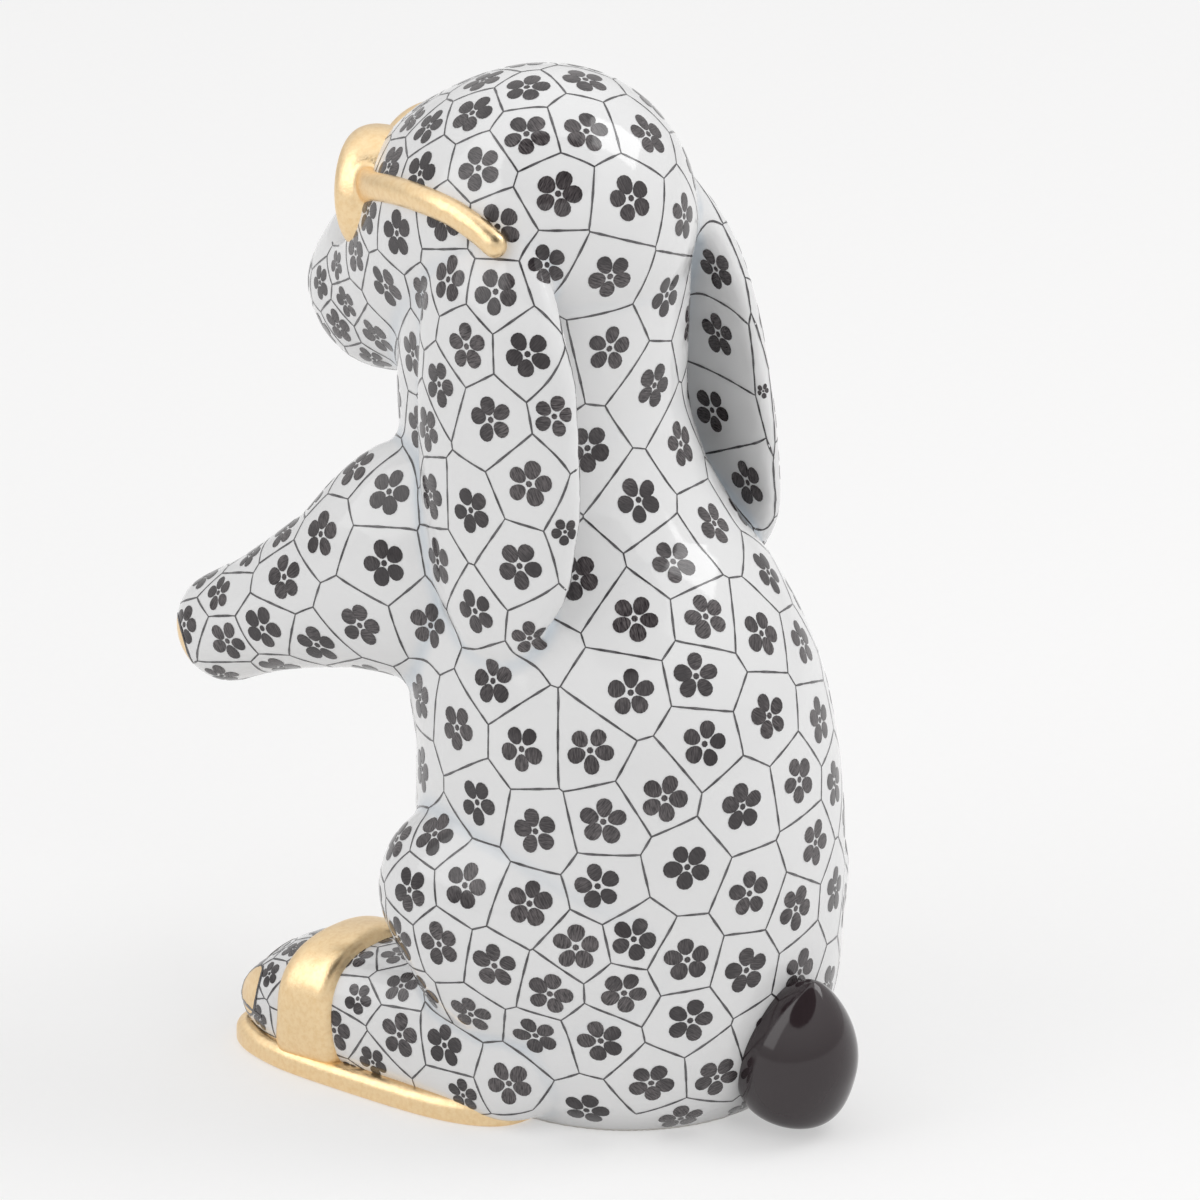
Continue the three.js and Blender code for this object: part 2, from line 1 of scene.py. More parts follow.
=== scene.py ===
# %% [markdown]
# # A porcelain rabbit with gilded spectacles and sandals
# The real figurine is slip cast: liquid clay sets inside plaster moulds, the hollow castings are stuck
# together, and one coat of clear glaze melts over all of them. So its seams are soft and its skin is
# wet and shiny. Fine lines and dark blossoms are painted by hand, the tail is black, and the trimmings
# are gilded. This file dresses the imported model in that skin, piece by piece.

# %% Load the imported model
import math
import bpy
import numpy as np
from mathutils import Matrix, Vector
from mathutils.bvhtree import BVHTree


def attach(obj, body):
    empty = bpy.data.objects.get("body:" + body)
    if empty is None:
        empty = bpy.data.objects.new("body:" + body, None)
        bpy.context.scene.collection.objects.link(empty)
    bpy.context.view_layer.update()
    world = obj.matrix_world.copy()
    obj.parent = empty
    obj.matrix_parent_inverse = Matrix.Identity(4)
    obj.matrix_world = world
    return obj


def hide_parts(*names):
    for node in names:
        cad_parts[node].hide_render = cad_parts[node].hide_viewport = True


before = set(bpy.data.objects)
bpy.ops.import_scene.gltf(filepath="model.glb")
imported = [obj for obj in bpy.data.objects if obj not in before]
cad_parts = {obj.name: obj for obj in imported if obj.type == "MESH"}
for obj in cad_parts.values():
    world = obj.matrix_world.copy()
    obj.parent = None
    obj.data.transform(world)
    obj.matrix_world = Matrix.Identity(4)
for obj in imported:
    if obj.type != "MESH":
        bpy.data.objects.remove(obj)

scene = bpy.context.scene
MM = 0.001
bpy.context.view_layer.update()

# %% [markdown]
# ## Camera
# The photograph is taken from behind the rabbit's left side and from above, with a long lens, so that
# upright lines stay upright and nothing near looks larger than what is far. A camera 2.5 m away with a
# very long focal length does the same. It is placed by two angles round the middle of the figure.

# %% Place the camera
def direction(azimuth, elevation):
    a, e = math.radians(azimuth), math.radians(elevation)
    return Vector((math.sin(a) * math.cos(e), -math.cos(a) * math.cos(e), math.sin(e)))


camera_azimuth, camera_elevation = 131, 22
distance = 2.5
frame_width = 0.120
figure_middle = Vector((0, 0, 50 * MM))
to_camera = direction(camera_azimuth, camera_elevation)
to_right = direction(camera_azimuth + 90, 0)
to_top = to_camera.cross(to_right)
aim = figure_middle - 1.4 * MM * to_right + 0.55 * MM * to_top

camera_data = bpy.data.cameras.new("studio_camera")
camera_data.sensor_width = 36
camera_data.lens = camera_data.sensor_width * distance / frame_width
camera_data.clip_end = 20
camera = bpy.data.objects.new("studio_camera", camera_data)
scene.collection.objects.link(camera)
camera.matrix_world = Matrix.Translation(aim + distance * to_camera) @ Matrix((
    (to_right.x, to_top.x, to_camera.x),
    (to_right.y, to_top.y, to_camera.y),
    (to_right.z, to_top.z, to_camera.z),
)).to_4x4()
scene.camera = camera
scene.view_settings.view_transform = "Standard"
print("Lens in mm:", round(camera_data.lens))

# %% [markdown]
# ## Node helpers
# Each finish is a node material. "fill" sets the sockets of a node: a plain value is written on the
# socket itself, and what is given as a socket is linked to it. "add_node" makes a node and fills it. The
# others are short names for nodes that turn up again and again.

# %% Helpers for materials
def fill(tree, node, **inputs):
    for key, value in inputs.items():
        numbered = key[0] == "i" and key[1:].isdigit()
        socket = node.inputs[int(key[1:]) if numbered else key.replace("_", " ")]
        if isinstance(value, bpy.types.NodeSocket):
            tree.links.new(value, socket)
        else:
            socket.default_value = value
    return node


def add_node(tree, kind, settings=None, **inputs):
    node = tree.nodes.new(kind)
    for key, value in (settings or {}).items():
        setattr(node, key, value)
    return fill(tree, node, **inputs)


def new_material(name):
    material = bpy.data.materials.new(name)
    material.use_nodes = True
    tree = material.node_tree
    return material, tree, tree.nodes["Principled BSDF"]


def colour_mix(tree, factor, first, second):
    return add_node(tree, "ShaderNodeMix", {"data_type": "RGBA"}, i0=factor, i6=first, i7=second).outputs[2]


def calculate(tree, operation, *values, use_clamp=False):
    settings = {"operation": operation, "use_clamp": use_clamp}
    return add_node(tree, "ShaderNodeMath", settings, **{f"i{i}": v for i, v in enumerate(values)}).outputs[0]


def map_range(tree, value, **limits):
    return add_node(tree, "ShaderNodeMapRange", Value=value, **limits).outputs[0]


def noise(tree, **inputs):
    return add_node(tree, "ShaderNodeTexNoise", **inputs).outputs[0]


def own_place(tree):
    return add_node(tree, "ShaderNodeTexCoord").outputs["Object"]


def bump(tree, height, strength, distance=0.25):
    inputs = dict(Strength=strength, Distance=distance * MM, Height=height)
    return add_node(tree, "ShaderNodeBump", **inputs).outputs[0]


def new_group(name, inputs, outputs):
    tree = bpy.data.node_groups.new(name, "ShaderNodeTree")
    for label, value in inputs:
        tree.interface.new_socket(label, in_out="INPUT", socket_type="NodeSocketFloat").default_value = value
    for label in outputs:
        tree.interface.new_socket(label, in_out="OUTPUT", socket_type="NodeSocketFloat")
    return tree, tree.nodes.new("NodeGroupInput").outputs, tree.nodes.new("NodeGroupOutput")


def use_group(tree, group, **inputs):
    return add_node(tree, "ShaderNodeGroup", {"node_tree": group}, **inputs).outputs


# %% [markdown]
# ## Two effects that several finishes share
# Melted glaze has long, very shallow waves that make reflections wander, and paint laid on with a soft
# brush has streaks along the stroke. More than one material shows them, so each is a node group:
# "glaze waves" gives a height and a slow tone, and "brush streaks" gives one mask.

# %% Build the shared effects
waves, given, result = new_group(
    "glaze waves", [("Waves per m", 220.0), ("Grain per m", 2600.0), ("Grain share", 0.04)],
    ["Height", "Tone"])
place = own_place(waves)
long_wave = noise(waves, Vector=place, Scale=given["Waves per m"], Detail=1.5, Roughness=0.4)
grain = noise(waves, Vector=place, Scale=given["Grain per m"], Detail=2.0, Roughness=0.6)
fill(waves, result, Height=calculate(waves, "MULTIPLY_ADD", grain, given["Grain share"], long_wave),
     Tone=noise(waves, Vector=place, Scale=60.0, Detail=2.0))

streaks, given, result = new_group(
    "brush streaks", [("Hairs", 9.0), ("Run", 1.3), ("Contrast", 1.0)], ["Streak"])
stroke = add_node(streaks, "ShaderNodeUVMap").outputs["UV"]
apart = add_node(streaks, "ShaderNodeSeparateXYZ", Vector=stroke).outputs
hairs = add_node(streaks, "ShaderNodeCombineXYZ", X=calculate(streaks, "MULTIPLY", apart[0], given["Run"]),
                 Y=calculate(streaks, "MULTIPLY", apart[1], given["Hairs"])).outputs[0]
hair_noise = noise(streaks, Vector=hairs, Scale=1.0, Detail=2.5, Roughness=0.6)
spread = map_range(streaks, hair_noise, From_Min=0.36, From_Max=0.68)
fill(streaks, result, Streak=calculate(streaks, "MULTIPLY", spread, given["Contrast"]))
print("Node groups:", [g.name for g in bpy.data.node_groups])

# %% [markdown]
# ## Finish: clear glaze over white porcelain
# The body is a cool white. Where the skin is creased the colour turns darker and blue-grey: the glaze
# runs together and is thicker there, and the same darkening paints in the shade that falls in a crease.
# The colour reads this crease value, which is stored on the skin further down. The flat ring that the
# figure stands on is wiped clean before firing: there the bare body is matt and warmer.
# Height in the object's own space tells that ring from the rest.

# %% Make the porcelain
glaze_ior = 1.52
porcelain, tree, shader = new_material("porcelain")
glaze = use_group(tree, waves)
# Thicker glaze and painted shade: the crease value turns the white darker and blue-grey in every crease.
crease_shade_and_pool = add_node(tree, "ShaderNodeAttribute", {"attribute_name": "glaze_pool_and_shade"}).outputs["Fac"]
body_tone = colour_mix(tree, glaze["Tone"], (0.805, 0.806, 0.806, 1), (0.845, 0.844, 0.840, 1))
pooled_and_shaded = colour_mix(tree, crease_shade_and_pool, body_tone, (0.640, 0.690, 0.735, 1))
level = add_node(tree, "ShaderNodeSeparateXYZ", Vector=own_place(tree)).outputs[2]
wiped = map_range(tree, level, From_Min=0.5 * MM, From_Max=0.2 * MM)
gloss = map_range(tree, glaze["Tone"], To_Min=0.05, To_Max=0.11)
fill(tree, shader, Base_Color=colour_mix(tree, wiped, pooled_and_shaded, (0.77, 0.74, 0.69, 1)),
     Roughness=calculate(tree, "MULTIPLY_ADD", wiped, 0.55, gloss, use_clamp=True),
     Normal=bump(tree, glaze["Height"], 0.12), IOR=glaze_ior)

# %% [markdown]
# ## Finish: charcoal brush paint
# Blossoms and net are painted under the glaze in a grey that is nearly black, and they are as shiny as
# the white. A loaded brush leaves darker and paler streaks. The petals carry a map of the brush's run,
# and the streak group turns it into two tones of the same paint. The net's lines are greyer.

# %% Make the painted greys
charcoal, tree, shader = new_material("charcoal_paint")
streak = use_group(tree, streaks, Hairs=7.0, Run=1.1, Contrast=1.0)["Streak"]
load = noise(tree, Scale=170.0, Detail=1.0, Vector=own_place(tree))
thin = map_range(tree, load, From_Min=0.36, From_Max=0.62, To_Min=0.25, To_Max=1.25)
shown = calculate(tree, "MULTIPLY", streak, thin, use_clamp=True)
fill(tree, shader, Base_Color=colour_mix(tree, shown, (0.024, 0.020, 0.022, 1), (0.135, 0.120, 0.122, 1)),
     Normal=bump(tree, use_group(tree, waves)["Height"], 0.12), Roughness=0.09, IOR=glaze_ior)

line_paint, tree, shader = new_material("line_paint")
streak = use_group(tree, streaks, Hairs=1.0, Run=0.9, Contrast=0.9)["Streak"]
fill(tree, shader, Base_Color=colour_mix(tree, streak, (0.055, 0.052, 0.055, 1), (0.170, 0.165, 0.172, 1)),
     Roughness=0.12, IOR=glaze_ior)

# %% [markdown]
# ## Finish: black glaze
# The tail and the dark glasses are covered all over in a solid black glaze. It is deep and mirror-like,
# and a little brown where the coat is thin. Only the reflection shows its form, so the waves matter
# more here than the colour does.

# %% Make the black glaze
black_glaze, tree, shader = new_material("black_glaze")
glaze = use_group(tree, waves)
tone = colour_mix(tree, glaze["Tone"], (0.018, 0.011, 0.013, 1), (0.036, 0.025, 0.028, 1))
fill(tree, shader, Base_Color=tone, Normal=bump(tree, glaze["Height"], 0.15, 0.3), Roughness=0.10, IOR=1.55)

# %% [markdown]
# ## Finish: burnished gold
# The gold is a thin film, fired on over the glaze and rubbed with fine sand. It is metal, so its colour
# is in its reflections, and it is satin, not mirror, with a faint grain and thinner, redder spots.
# Roughness and height vary with the shared waves at a finer scale.

# %% Make the gold
gold, tree, shader = new_material("gilding")
rubbed = use_group(tree, waves, Waves_per_m=520.0, Grain_per_m=5200.0, Grain_share=0.35)["Height"]
mottle = noise(tree, Scale=1900.0, Detail=3.0, Roughness=0.6, Vector=own_place(tree))
spots = map_range(tree, mottle, From_Min=0.34, From_Max=0.60)
fill(tree, shader, Base_Color=colour_mix(tree, spots, (0.86, 0.625, 0.345, 1), (0.92, 0.705, 0.425, 1)),
     Roughness=map_range(tree, rubbed, From_Max=1.4, To_Min=0.24, To_Max=0.44),
     Normal=bump(tree, rubbed, 0.28), Metallic=1.0)
print("Materials:", [m.name for m in (porcelain, charcoal, line_paint, black_glaze, gold)])

# %% [markdown]
# ## Floor, backdrop and lamps
# The photograph is a light tent: a pale floor that runs on as the backdrop, and soft light from all
# sides. One lamp stands on each side, one near the camera and one overhead, and only the two at the
# sides show in reflections. The floor here is one wide disc. Its material mixes real shading, which
# keeps the shadow, with a plain white that only the camera and mirrors see, so the background stays
# pale without more light on the rabbit.

# %% Lay the floor
def full_turn(steps):
    return np.arange(steps) / steps * 2 * math.pi


def disc_mesh(name, radius, steps):
    mesh = bpy.data.meshes.new(name)
    ring = [(radius * math.cos(a), radius * math.sin(a), 0) for a in full_turn(steps)]
    mesh.from_pydata(ring, [], [list(range(steps))])
    return mesh


floor_paper, tree, shader = new_material("floor_paper")
tree.nodes.remove(shader)
path = add_node(tree, "ShaderNodeLightPath").outputs
seen = calculate(tree, "ADD", path["Is Camera Ray"], path["Is Glossy Ray"])
seen = calculate(tree, "ADD", seen, path["Is Transmission Ray"], use_clamp=True)
paper = noise(tree, Scale=900.0, Detail=3.0, Vector=own_place(tree))
paper_tone = colour_mix(tree, paper, (0.86, 0.855, 0.85, 1), (0.88, 0.877, 0.872, 1))
lit = add_node(tree, "ShaderNodeBsdfDiffuse", Color=paper_tone)
glow = add_node(tree, "ShaderNodeEmission", Color=(1.0, 0.998, 0.995, 1), Strength=1.12)
both = add_node(tree, "ShaderNodeMixShader", i0=calculate(tree, "MULTIPLY", seen, 0.40),
                i1=lit.outputs[0], i2=glow.outputs[0])
fill(tree, tree.nodes["Material Output"], Surface=both.outputs[0])

floor = bpy.data.objects.new("floor", disc_mesh("floor", 6.0, 96))
floor.location.z = -0.02 * MM
floor.data.materials.append(floor_paper)
scene.collection.objects.link(floor)

# %% Light the tent
world = bpy.data.worlds.new("light_tent")
scene.world = world
world.use_nodes = True
tree = world.node_tree
path = add_node(tree, "ShaderNodeLightPath").outputs
ray = add_node(tree, "ShaderNodeTexCoord").outputs["Generated"]
upward = map_range(tree, add_node(tree, "ShaderNodeSeparateXYZ", Vector=ray).outputs[2], From_Min=-0.1)
mirrored_tent = colour_mix(tree, upward, (0.58, 0.575, 0.57, 1), (1.25, 1.25, 1.25, 1))
tent = colour_mix(tree, path["Is Glossy Ray"], (0.51, 0.51, 0.515, 1), mirrored_tent)
tent = colour_mix(tree, path["Is Camera Ray"], tent, (0.93, 0.93, 0.93, 1))
fill(tree, tree.nodes["Background"], Color=tent)


def face_figure(thing, toward, away):
    thing.location = figure_middle + away * toward
    thing.rotation_euler = toward.to_track_quat("Z", "Y").to_euler()
    scene.collection.objects.link(thing)


def softbox(name, azimuth, elevation, away, width, height, power, mirrored=False):
    lamp = bpy.data.lights.new(name, "AREA")
    lamp.shape = "RECTANGLE"
    lamp.size = width
    lamp.size_y = height
    lamp.energy = power
    holder = bpy.data.objects.new(name, lamp)
    holder.visible_glossy = mirrored
    face_figure(holder, direction(azimuth, elevation), away)


softbox("softbox_left", 58, 34, 0.80, 0.70, 0.75, 1.75, mirrored=True)
softbox("softbox_right", 233, 50, 0.80, 0.38, 0.46, 1.7, mirrored=True)
softbox("softbox_fill", 168, 20, 0.90, 0.70, 0.70, 1.3)
softbox("softbox_top", 300, 82, 0.80, 0.80, 0.80, 1.0)

# %% [markdown]
# A tent has an opening, and glossy black glaze shows it as a dark patch. Here it is a dark oval card
# that hangs above the camera's line of sight. Only reflections show it, and it casts no shadow.

# %% Hang the dark opening
card_paint, tree, shader = new_material("card_paint")
card_tone = colour_mix(tree, noise(tree, Scale=40.0), (0.03, 0.03, 0.03, 1), (0.06, 0.06, 0.06, 1))
fill(tree, shader, Base_Color=card_tone, Roughness=0.9)
card_elevation, card_distance, card_radius = 57, 0.6, 0.30
card = bpy.data.objects.new("tent_opening", disc_mesh("tent_opening", card_radius, 48))
card.scale = (1.3, 1, 1)
card.data.materials.append(card_paint)
card.visible_camera = card.visible_diffuse = card.visible_shadow = False
face_figure(card, direction(camera_azimuth, card_elevation), card_distance)

# %% [markdown]
# ## The cast forms
# Torso, head, ears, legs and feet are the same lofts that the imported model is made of: sections along
# a smooth line, each with a place and two half sizes in millimetres. Here they are made again with many
# more facets. The line is a centripetal Catmull-Rom curve, which passes through each section without
# looping, and rounded ends come from sections that shrink like a quarter circle.

# %% Curves and sweeps
def curve_at(points, t):
    last = len(points) - 1
    i = min(int(t * last), last - 1)
    w = t * last - i
    p1, p2 = points[i], points[i + 1]
    p0 = points[i - 1] if i > 0 else 2 * p1 - p2
    p3 = points[i + 2] if i + 2 <= last else 2 * p2 - p1
    d0, d1, d2 = (np.sum((b - a) ** 2) ** 0.25 for a, b in ((p0, p1), (p1, p2), (p2, p3)))
    d1 = d1 if d1 >= 1e-4 else 1.0
    d0 = d0 if d0 >= 1e-4 else d1
    d2 = d2 if d2 >= 1e-4 else d1
    m1 = ((p1 - p0) / d0 - (p2 - p0) / (d0 + d1) + (p2 - p1) / d1) * d1
    m2 = ((p2 - p1) / d1 - (p3 - p1) / (d1 + d2) + (p3 - p2) / d2) * d1
    return p1 + m1 * w + (3 * (p2 - p1) - 2 * m1 - m2) * w * w + (2 * (p1 - p2) + m1 + m2) * w ** 3


def tangent_at(points, t):
    step = 1e-4
    run = curve_at(points, min(1, t + step)) - curve_at(points, max(0, t - step))
    return run / np.linalg.norm(run)


def stations(rings, start_round, end_round, steps=14):
    dome = [i / steps * math.pi / 2 for i in range(steps)]
    start = [(start_round * (1 - math.cos(a)), math.sin(a)) for a in dome if start_round]
    middle = [(start_round + (1 - start_round - end_round) * i / rings, 1.0) for i in range(rings + 1)]
    end = [(1 - end_round * (1 - math.cos(a)), math.sin(a)) for a in reversed(dome) if end_round]
    return start + middle + end


def oval(angle, a, b, t, scale):
    return a * np.cos(angle), b * np.sin(angle)


def grid_faces(rows, columns, closed=True):
    return [(i * columns + j, i * columns + (j + 1) % columns,
             (i + 1) * columns + (j + 1) % columns, (i + 1) * columns + j)
            for i in range(rows - 1) for j in range(columns if closed else columns - 1)]


def cap_faces(rows, columns):
    return [tuple(range(columns))[::-1], tuple(range((rows - 1) * columns, rows * columns))]


def line_and_halves(sections):
    table = np.array(sections, float)
    return table[:, :3], table[:, 3:5]


def sweep(sections, axis=(1, 0, 0), sides=96, rings=90, start_round=0.0, end_round=0.0, outline=oval):
    line, halves = line_and_halves(sections)
    axis = np.array(axis, float)
    rows = []
    for t, scale in stations(rings, start_round, end_round):
        ahead = tangent_at(line, t)
        u = axis - axis.dot(ahead) * ahead
        u /= np.linalg.norm(u)
        w = np.cross(ahead, u)
        a, b = curve_at(halves, t)
        x, y = outline(full_turn(sides), a * scale, b * scale, t, scale)
        rows.append(curve_at(line, t) + np.outer(x, u) + np.outer(y, w))
    return np.concatenate(rows), grid_faces(len(rows), sides) + cap_faces(len(rows), sides)


def blunt(value, power):
    return np.sign(value) * np.abs(value) ** power


def smoothstep(value, low, high):
    x = np.clip((value - low) / (high - low), 0, 1)
    return x * x * (3 - 2 * x)


# %% [markdown]
# The head narrows between the eyes and fills out at the cheeks. The ear is a flap bent round the head.
# The foot is squarish and has grooves between its toes. Each of those is an outline of its own, which
# takes the angle round the section and gives a point. What is on the rabbit's left is mirrored for its
# right.

# %% Section tables and outlines in millimetres
def head_outline(angle, a, b, t, scale):
    forward = smoothstep(t, 0.45, 0.7)
    rise = np.sin(angle)
    pinch = np.where(rise > 0, 1 - 0.3 * forward * rise ** 2, 1)
    power = np.where(rise < 0, 1 + (0.72 - 1) * forward, 1)
    return a * blunt(np.cos(angle), power) * pinch, b * rise


def ear_outline(angle, a, b, t, scale):
    edge = a * np.cos(angle)
    return edge, b * blunt(np.sin(angle), 0.62) - 2.6 * (edge / 10.3) ** 2


def foot_outline(angle, a, b, t, scale):
    side, rise = np.cos(angle), np.sin(angle)
    front = np.where(rise > 0, smoothstep(t, 0.72, 1), 0)
    groove = 1 - np.abs(np.sin(1.5 * math.pi * (side + 1)))
    top = b - 0.9 * front * groove * scale
    power = np.where(rise < 0, 0.5, 0.8)
    return a * blunt(side, power), top * blunt(rise, power)


def tube_sections(rows):
    return [(0, y, z, a, b) for y, z, a, b in rows]


torso_rows = [
    (0.2, -4, 11.6, 11.8), (0.8, 4, 18.9, 19), (2.2, 14, 21, 21.2), (2.2, 28, 21.4, 21.5), (1, 38, 20.9, 21),
    (-2.2, 46, 19.6, 19.8), (-5.3, 53, 17.4, 17.6), (-7.9, 61, 15.3, 15.6), (-9.4, 70, 14.4, 14.6),
    (-9.3, 80, 14.6, 14.6), (-9, 90, 14.6, 14.8),
]
head_rows = [
    (6.4, 92.2, 13.8, 14.4), (-1, 91, 14.8, 15), (-9, 89.4, 15.2, 15.4), (-17, 86.1, 13.8, 14.2),
    (-24, 81.4, 11, 11.6), (-30.2, 77.7, 8.3, 9.4), (-38.6, 75.2, 7.2, 7.6),
]
ear_rows = [
    (10.5, -5.5, 93.5, 4.2, 2.4), (14.6, -4.6, 86.5, 8, 2.3), (16.3, -3.2, 77.5, 10, 2.1),
    (17.2, -2.2, 68, 10.3, 2), (17.8, -1, 58.5, 9, 1.9), (18.3, 0.4, 49.4, 5.6, 1.7),
]
arm_rows = [
    (8, -9, 54.8, 8.5, 14.8), (11.5, -17, 53.2, 8, 12.8), (13.4, -25, 49.4, 6.6, 8.4),
    (14, -34, 44.6, 5.7, 6.1), (14, -43.3, 39.4, 5.2, 5.3),
]
haunch_rows = [
    (5, 16.4, 12.6, 5, 8), (8.4, 12.9, 14, 6.8, 11.4), (12.8, 7.8, 17, 8.1, 14), (16.1, 1, 20.4, 8.6, 13.4),
    (17, -6.4, 22.4, 8.3, 10.8), (17, -14.4, 21.6, 7.4, 8.6),
]
foot_x = 15
foot_rows = [
    (foot_x, 8.8, 6, 6.2, 5.4), (foot_x, -3.1, 7.2, 7, 6.8), (foot_x, -14.2, 7.2, 7.3, 6.3),
    (foot_x, -24.3, 6.8, 7.5, 5.8), (foot_x, -35, 3.7, 7, 3.7),
]
one_side = {
    "ear": dict(sections=ear_rows, axis=(0, 1, 0), end_round=0.17, outline=ear_outline),
    "arm": dict(sections=arm_rows, start_round=0.1, end_round=0.1),
    "haunch": dict(sections=haunch_rows, start_round=0.27, end_round=0.27),
    "foot": dict(sections=foot_rows, start_round=0.14, end_round=0.24, outline=foot_outline),
}


def mirror_x(points, faces):
    return points * np.array([-1, 1, 1]), [tuple(reversed(f)) for f in faces]


forms = {
    "torso": sweep(tube_sections(torso_rows)),
    "head": sweep(tube_sections(head_rows), start_round=0.33, end_round=0.18, outline=head_outline),
}
for name, shape in one_side.items():
    forms[name + "_left"] = sweep(**shape)
    forms[name + "_right"] = mirror_x(*forms[name + "_left"])
print("Cast forms:", list(forms))

# %% [markdown]
# ## One glazed skin
# The castings are separate pieces, but slip and glaze run into every joint, so no sharp seam is left.
# A voxel remesh copies that: it lays one even skin of small quads over all the overlapping forms. It
# works in steps of 0.45 millimetres, so the skin is then relaxed a little, more in the creases, which
# gives the soft fillets that melted glaze leaves. Working at 1000 times size keeps the remesher exact.

# %% Fuse the forms
def join_forms(parts):
    points, faces, start = [], [], 0
    for own_points, own_faces in parts:
        points.append(own_points)
        faces += [tuple(i + start for i in face) for face in own_faces]
        start += len(own_points)
    return np.concatenate(points), faces


def fuse(parts, step):
    points, faces = join_forms(parts.values())
    raw = bpy.data.meshes.new("raw_forms")
    raw.from_pydata(points.tolist(), [], faces)
    raw_object = bpy.data.objects.new("raw_forms", raw)
    scene.collection.objects.link(raw_object)
    remesh = raw_object.modifiers.new("one_skin", "REMESH")
    remesh.mode = "VOXEL"
    remesh.voxel_size = step
    fused = bpy.data.meshes.new_from_object(raw_object.evaluated_get(bpy.context.evaluated_depsgraph_get()))
    bpy.data.objects.remove(raw_object)
    skin = np.zeros(len(fused.vertices) * 3)
    fused.vertices.foreach_get("co", skin)
    corners = np.zeros(len(fused.loops), int)
    fused.loops.foreach_get("vertex_index", corners)
    tree = BVHTree.FromPolygons(points.tolist(), faces)
    maker = np.concatenate([[i] * len(own_faces) for i, (_, own_faces) in enumerate(parts.values())])

    def nearest_form(at):
        return maker[[tree.find_nearest(p)[2] for p in at.tolist()]]

    return skin.reshape(-1, 3), corners.reshape(-1, 4), nearest_form


skin_step = 0.45
skin, quads, maker_of = fuse(forms, skin_step)
print("Skin:", len(skin), "points,", len(quads), "quads")

# %% Relax the skin
def edges_of(quads):
    links = np.concatenate([quads[:, [i, (i + 1) % 4]] for i in range(4)])
    return np.unique(np.sort(links, axis=1), axis=0)


def neighbour_mean(values, links):
    total = np.zeros_like(values)
    for k in range(values.shape[1]):
        total[:, k] = np.bincount(links[:, 0], values[links[:, 1], k], len(values))
        total[:, k] += np.bincount(links[:, 1], values[links[:, 0], k], len(values))
    return total / np.bincount(links.ravel(), minlength=len(values))[:, None]


def lengths(vectors):
    return np.linalg.norm(vectors, axis=-1)


def unit(vectors):
    return vectors / np.linalg.norm(vectors, axis=-1, keepdims=True)


def quad_normals(points, quads):
    return np.cross(points[quads[:, 2]] - points[quads[:, 0]], points[quads[:, 3]] - points[quads[:, 1]])


def point_normals(points, quads):
    facing = quad_normals(points, quads)
    return unit(np.stack([np.bincount(quads.ravel(), np.repeat(facing[:, k], 4), len(points))
                          for k in range(3)], 1))


def relax(skin, quads, even, fillet, deep, pull=0.5, push=0.52, least=0.08):
    links = edges_of(quads)
    for _ in range(even):
        skin = skin + pull * (neighbour_mean(skin, links) - skin)
        skin = skin - push * (neighbour_mean(skin, links) - skin)
    normals = point_normals(skin, quads)
    hollow = np.einsum("ij,ij->i", neighbour_mean(skin, links) - skin, normals)[:, None]
    for _ in range(6):
        hollow = neighbour_mean(hollow, links)
    crease = np.clip(hollow / deep, 0, 1)
    for _ in range(fillet):
        skin = skin + (least + pull * crease) * (neighbour_mean(skin, links) - skin)
    return skin, crease


skin, crease = relax(skin, quads, even=14, fillet=22, deep=0.02)
skin[:, 2] = np.maximum(skin[:, 2], 0)
print("Share of the skin in a crease:", round(float((crease > 0.3).mean()), 3))

# %% [markdown]
# The glasses are seated in the face, so the skin gives way behind each of them. Every point that would
# stand in front of a seat is pushed back along the axis of that glass. Outside the seat the limit falls
# away quickly, which leaves a step round the rim, and the wall of that step is smoothed, as the tool
# does on wet clay.

# %% Seat the glasses
def turn_x(angle):
    c, s = math.cos(angle), math.sin(angle)
    return np.array([[1, 0, 0], [0, c, -s], [0, s, c]])


def turn_z(angle):
    c, s = math.cos(angle), math.sin(angle)
    return np.array([[c, -s, 0], [s, c, 0], [0, 0, 1]])


glass_centre = np.array([5.4, -29.7, 88.8])
rim_radius, rim_width = 6.2, 1.5
seat_depth, seat_slope, seat_reach = 2.2, 9.0, 8
wall_inset, wall_width = 0.5, 1.7
glass_axes = turn_z(math.radians(20)) @ turn_x(math.radians(6))


def to_glass(points, side):
    return (points * np.array([side, 1, 1]) - glass_centre) @ glass_axes


def from_glass(points, side=1):
    return (np.asarray(points) @ glass_axes.T + glass_centre) * np.array([side, 1, 1])


skin_edges = edges_of(quads)
for side in (1, -1):
    local = to_glass(skin, side)
    out = np.hypot(local[:, 0], local[:, 2])
    limit = seat_depth - seat_slope * np.maximum(out - rim_radius + rim_width, 0)
    in_reach = local[:, 1] > -seat_reach
    pushed = (local[:, 1] < limit) & (out < rim_radius) & in_reach
    local[pushed, 1] = limit[pushed]
    skin[pushed] = from_glass(local[pushed], side)
    near_wall = np.abs(out - rim_radius + wall_inset) < wall_width
    near_wall &= in_reach & (local[:, 1] < seat_depth + 1)
    for _ in range(6):
        skin[near_wall] += 0.5 * (neighbour_mean(skin, skin_edges) - skin)[near_wall]
    print("Points pushed back behind a glass:", int(pushed.sum()))


def behind_glass(at, margin):
    inside = np.zeros(len(at), bool)
    for side in (1, -1):
        local = to_glass(at, side)
        out = np.hypot(local[:, 0], local[:, 2])
        inside |= (out < rim_radius + margin) & (np.abs(local[:, 1]) < seat_reach)
    return inside


# %% [markdown]
# Under the figure is the vent, a hole that lets air out of the hollow while it is fired. Its mouth is
# the only part that can be seen, so the bottom of the skin is drawn up into a short well at that place.

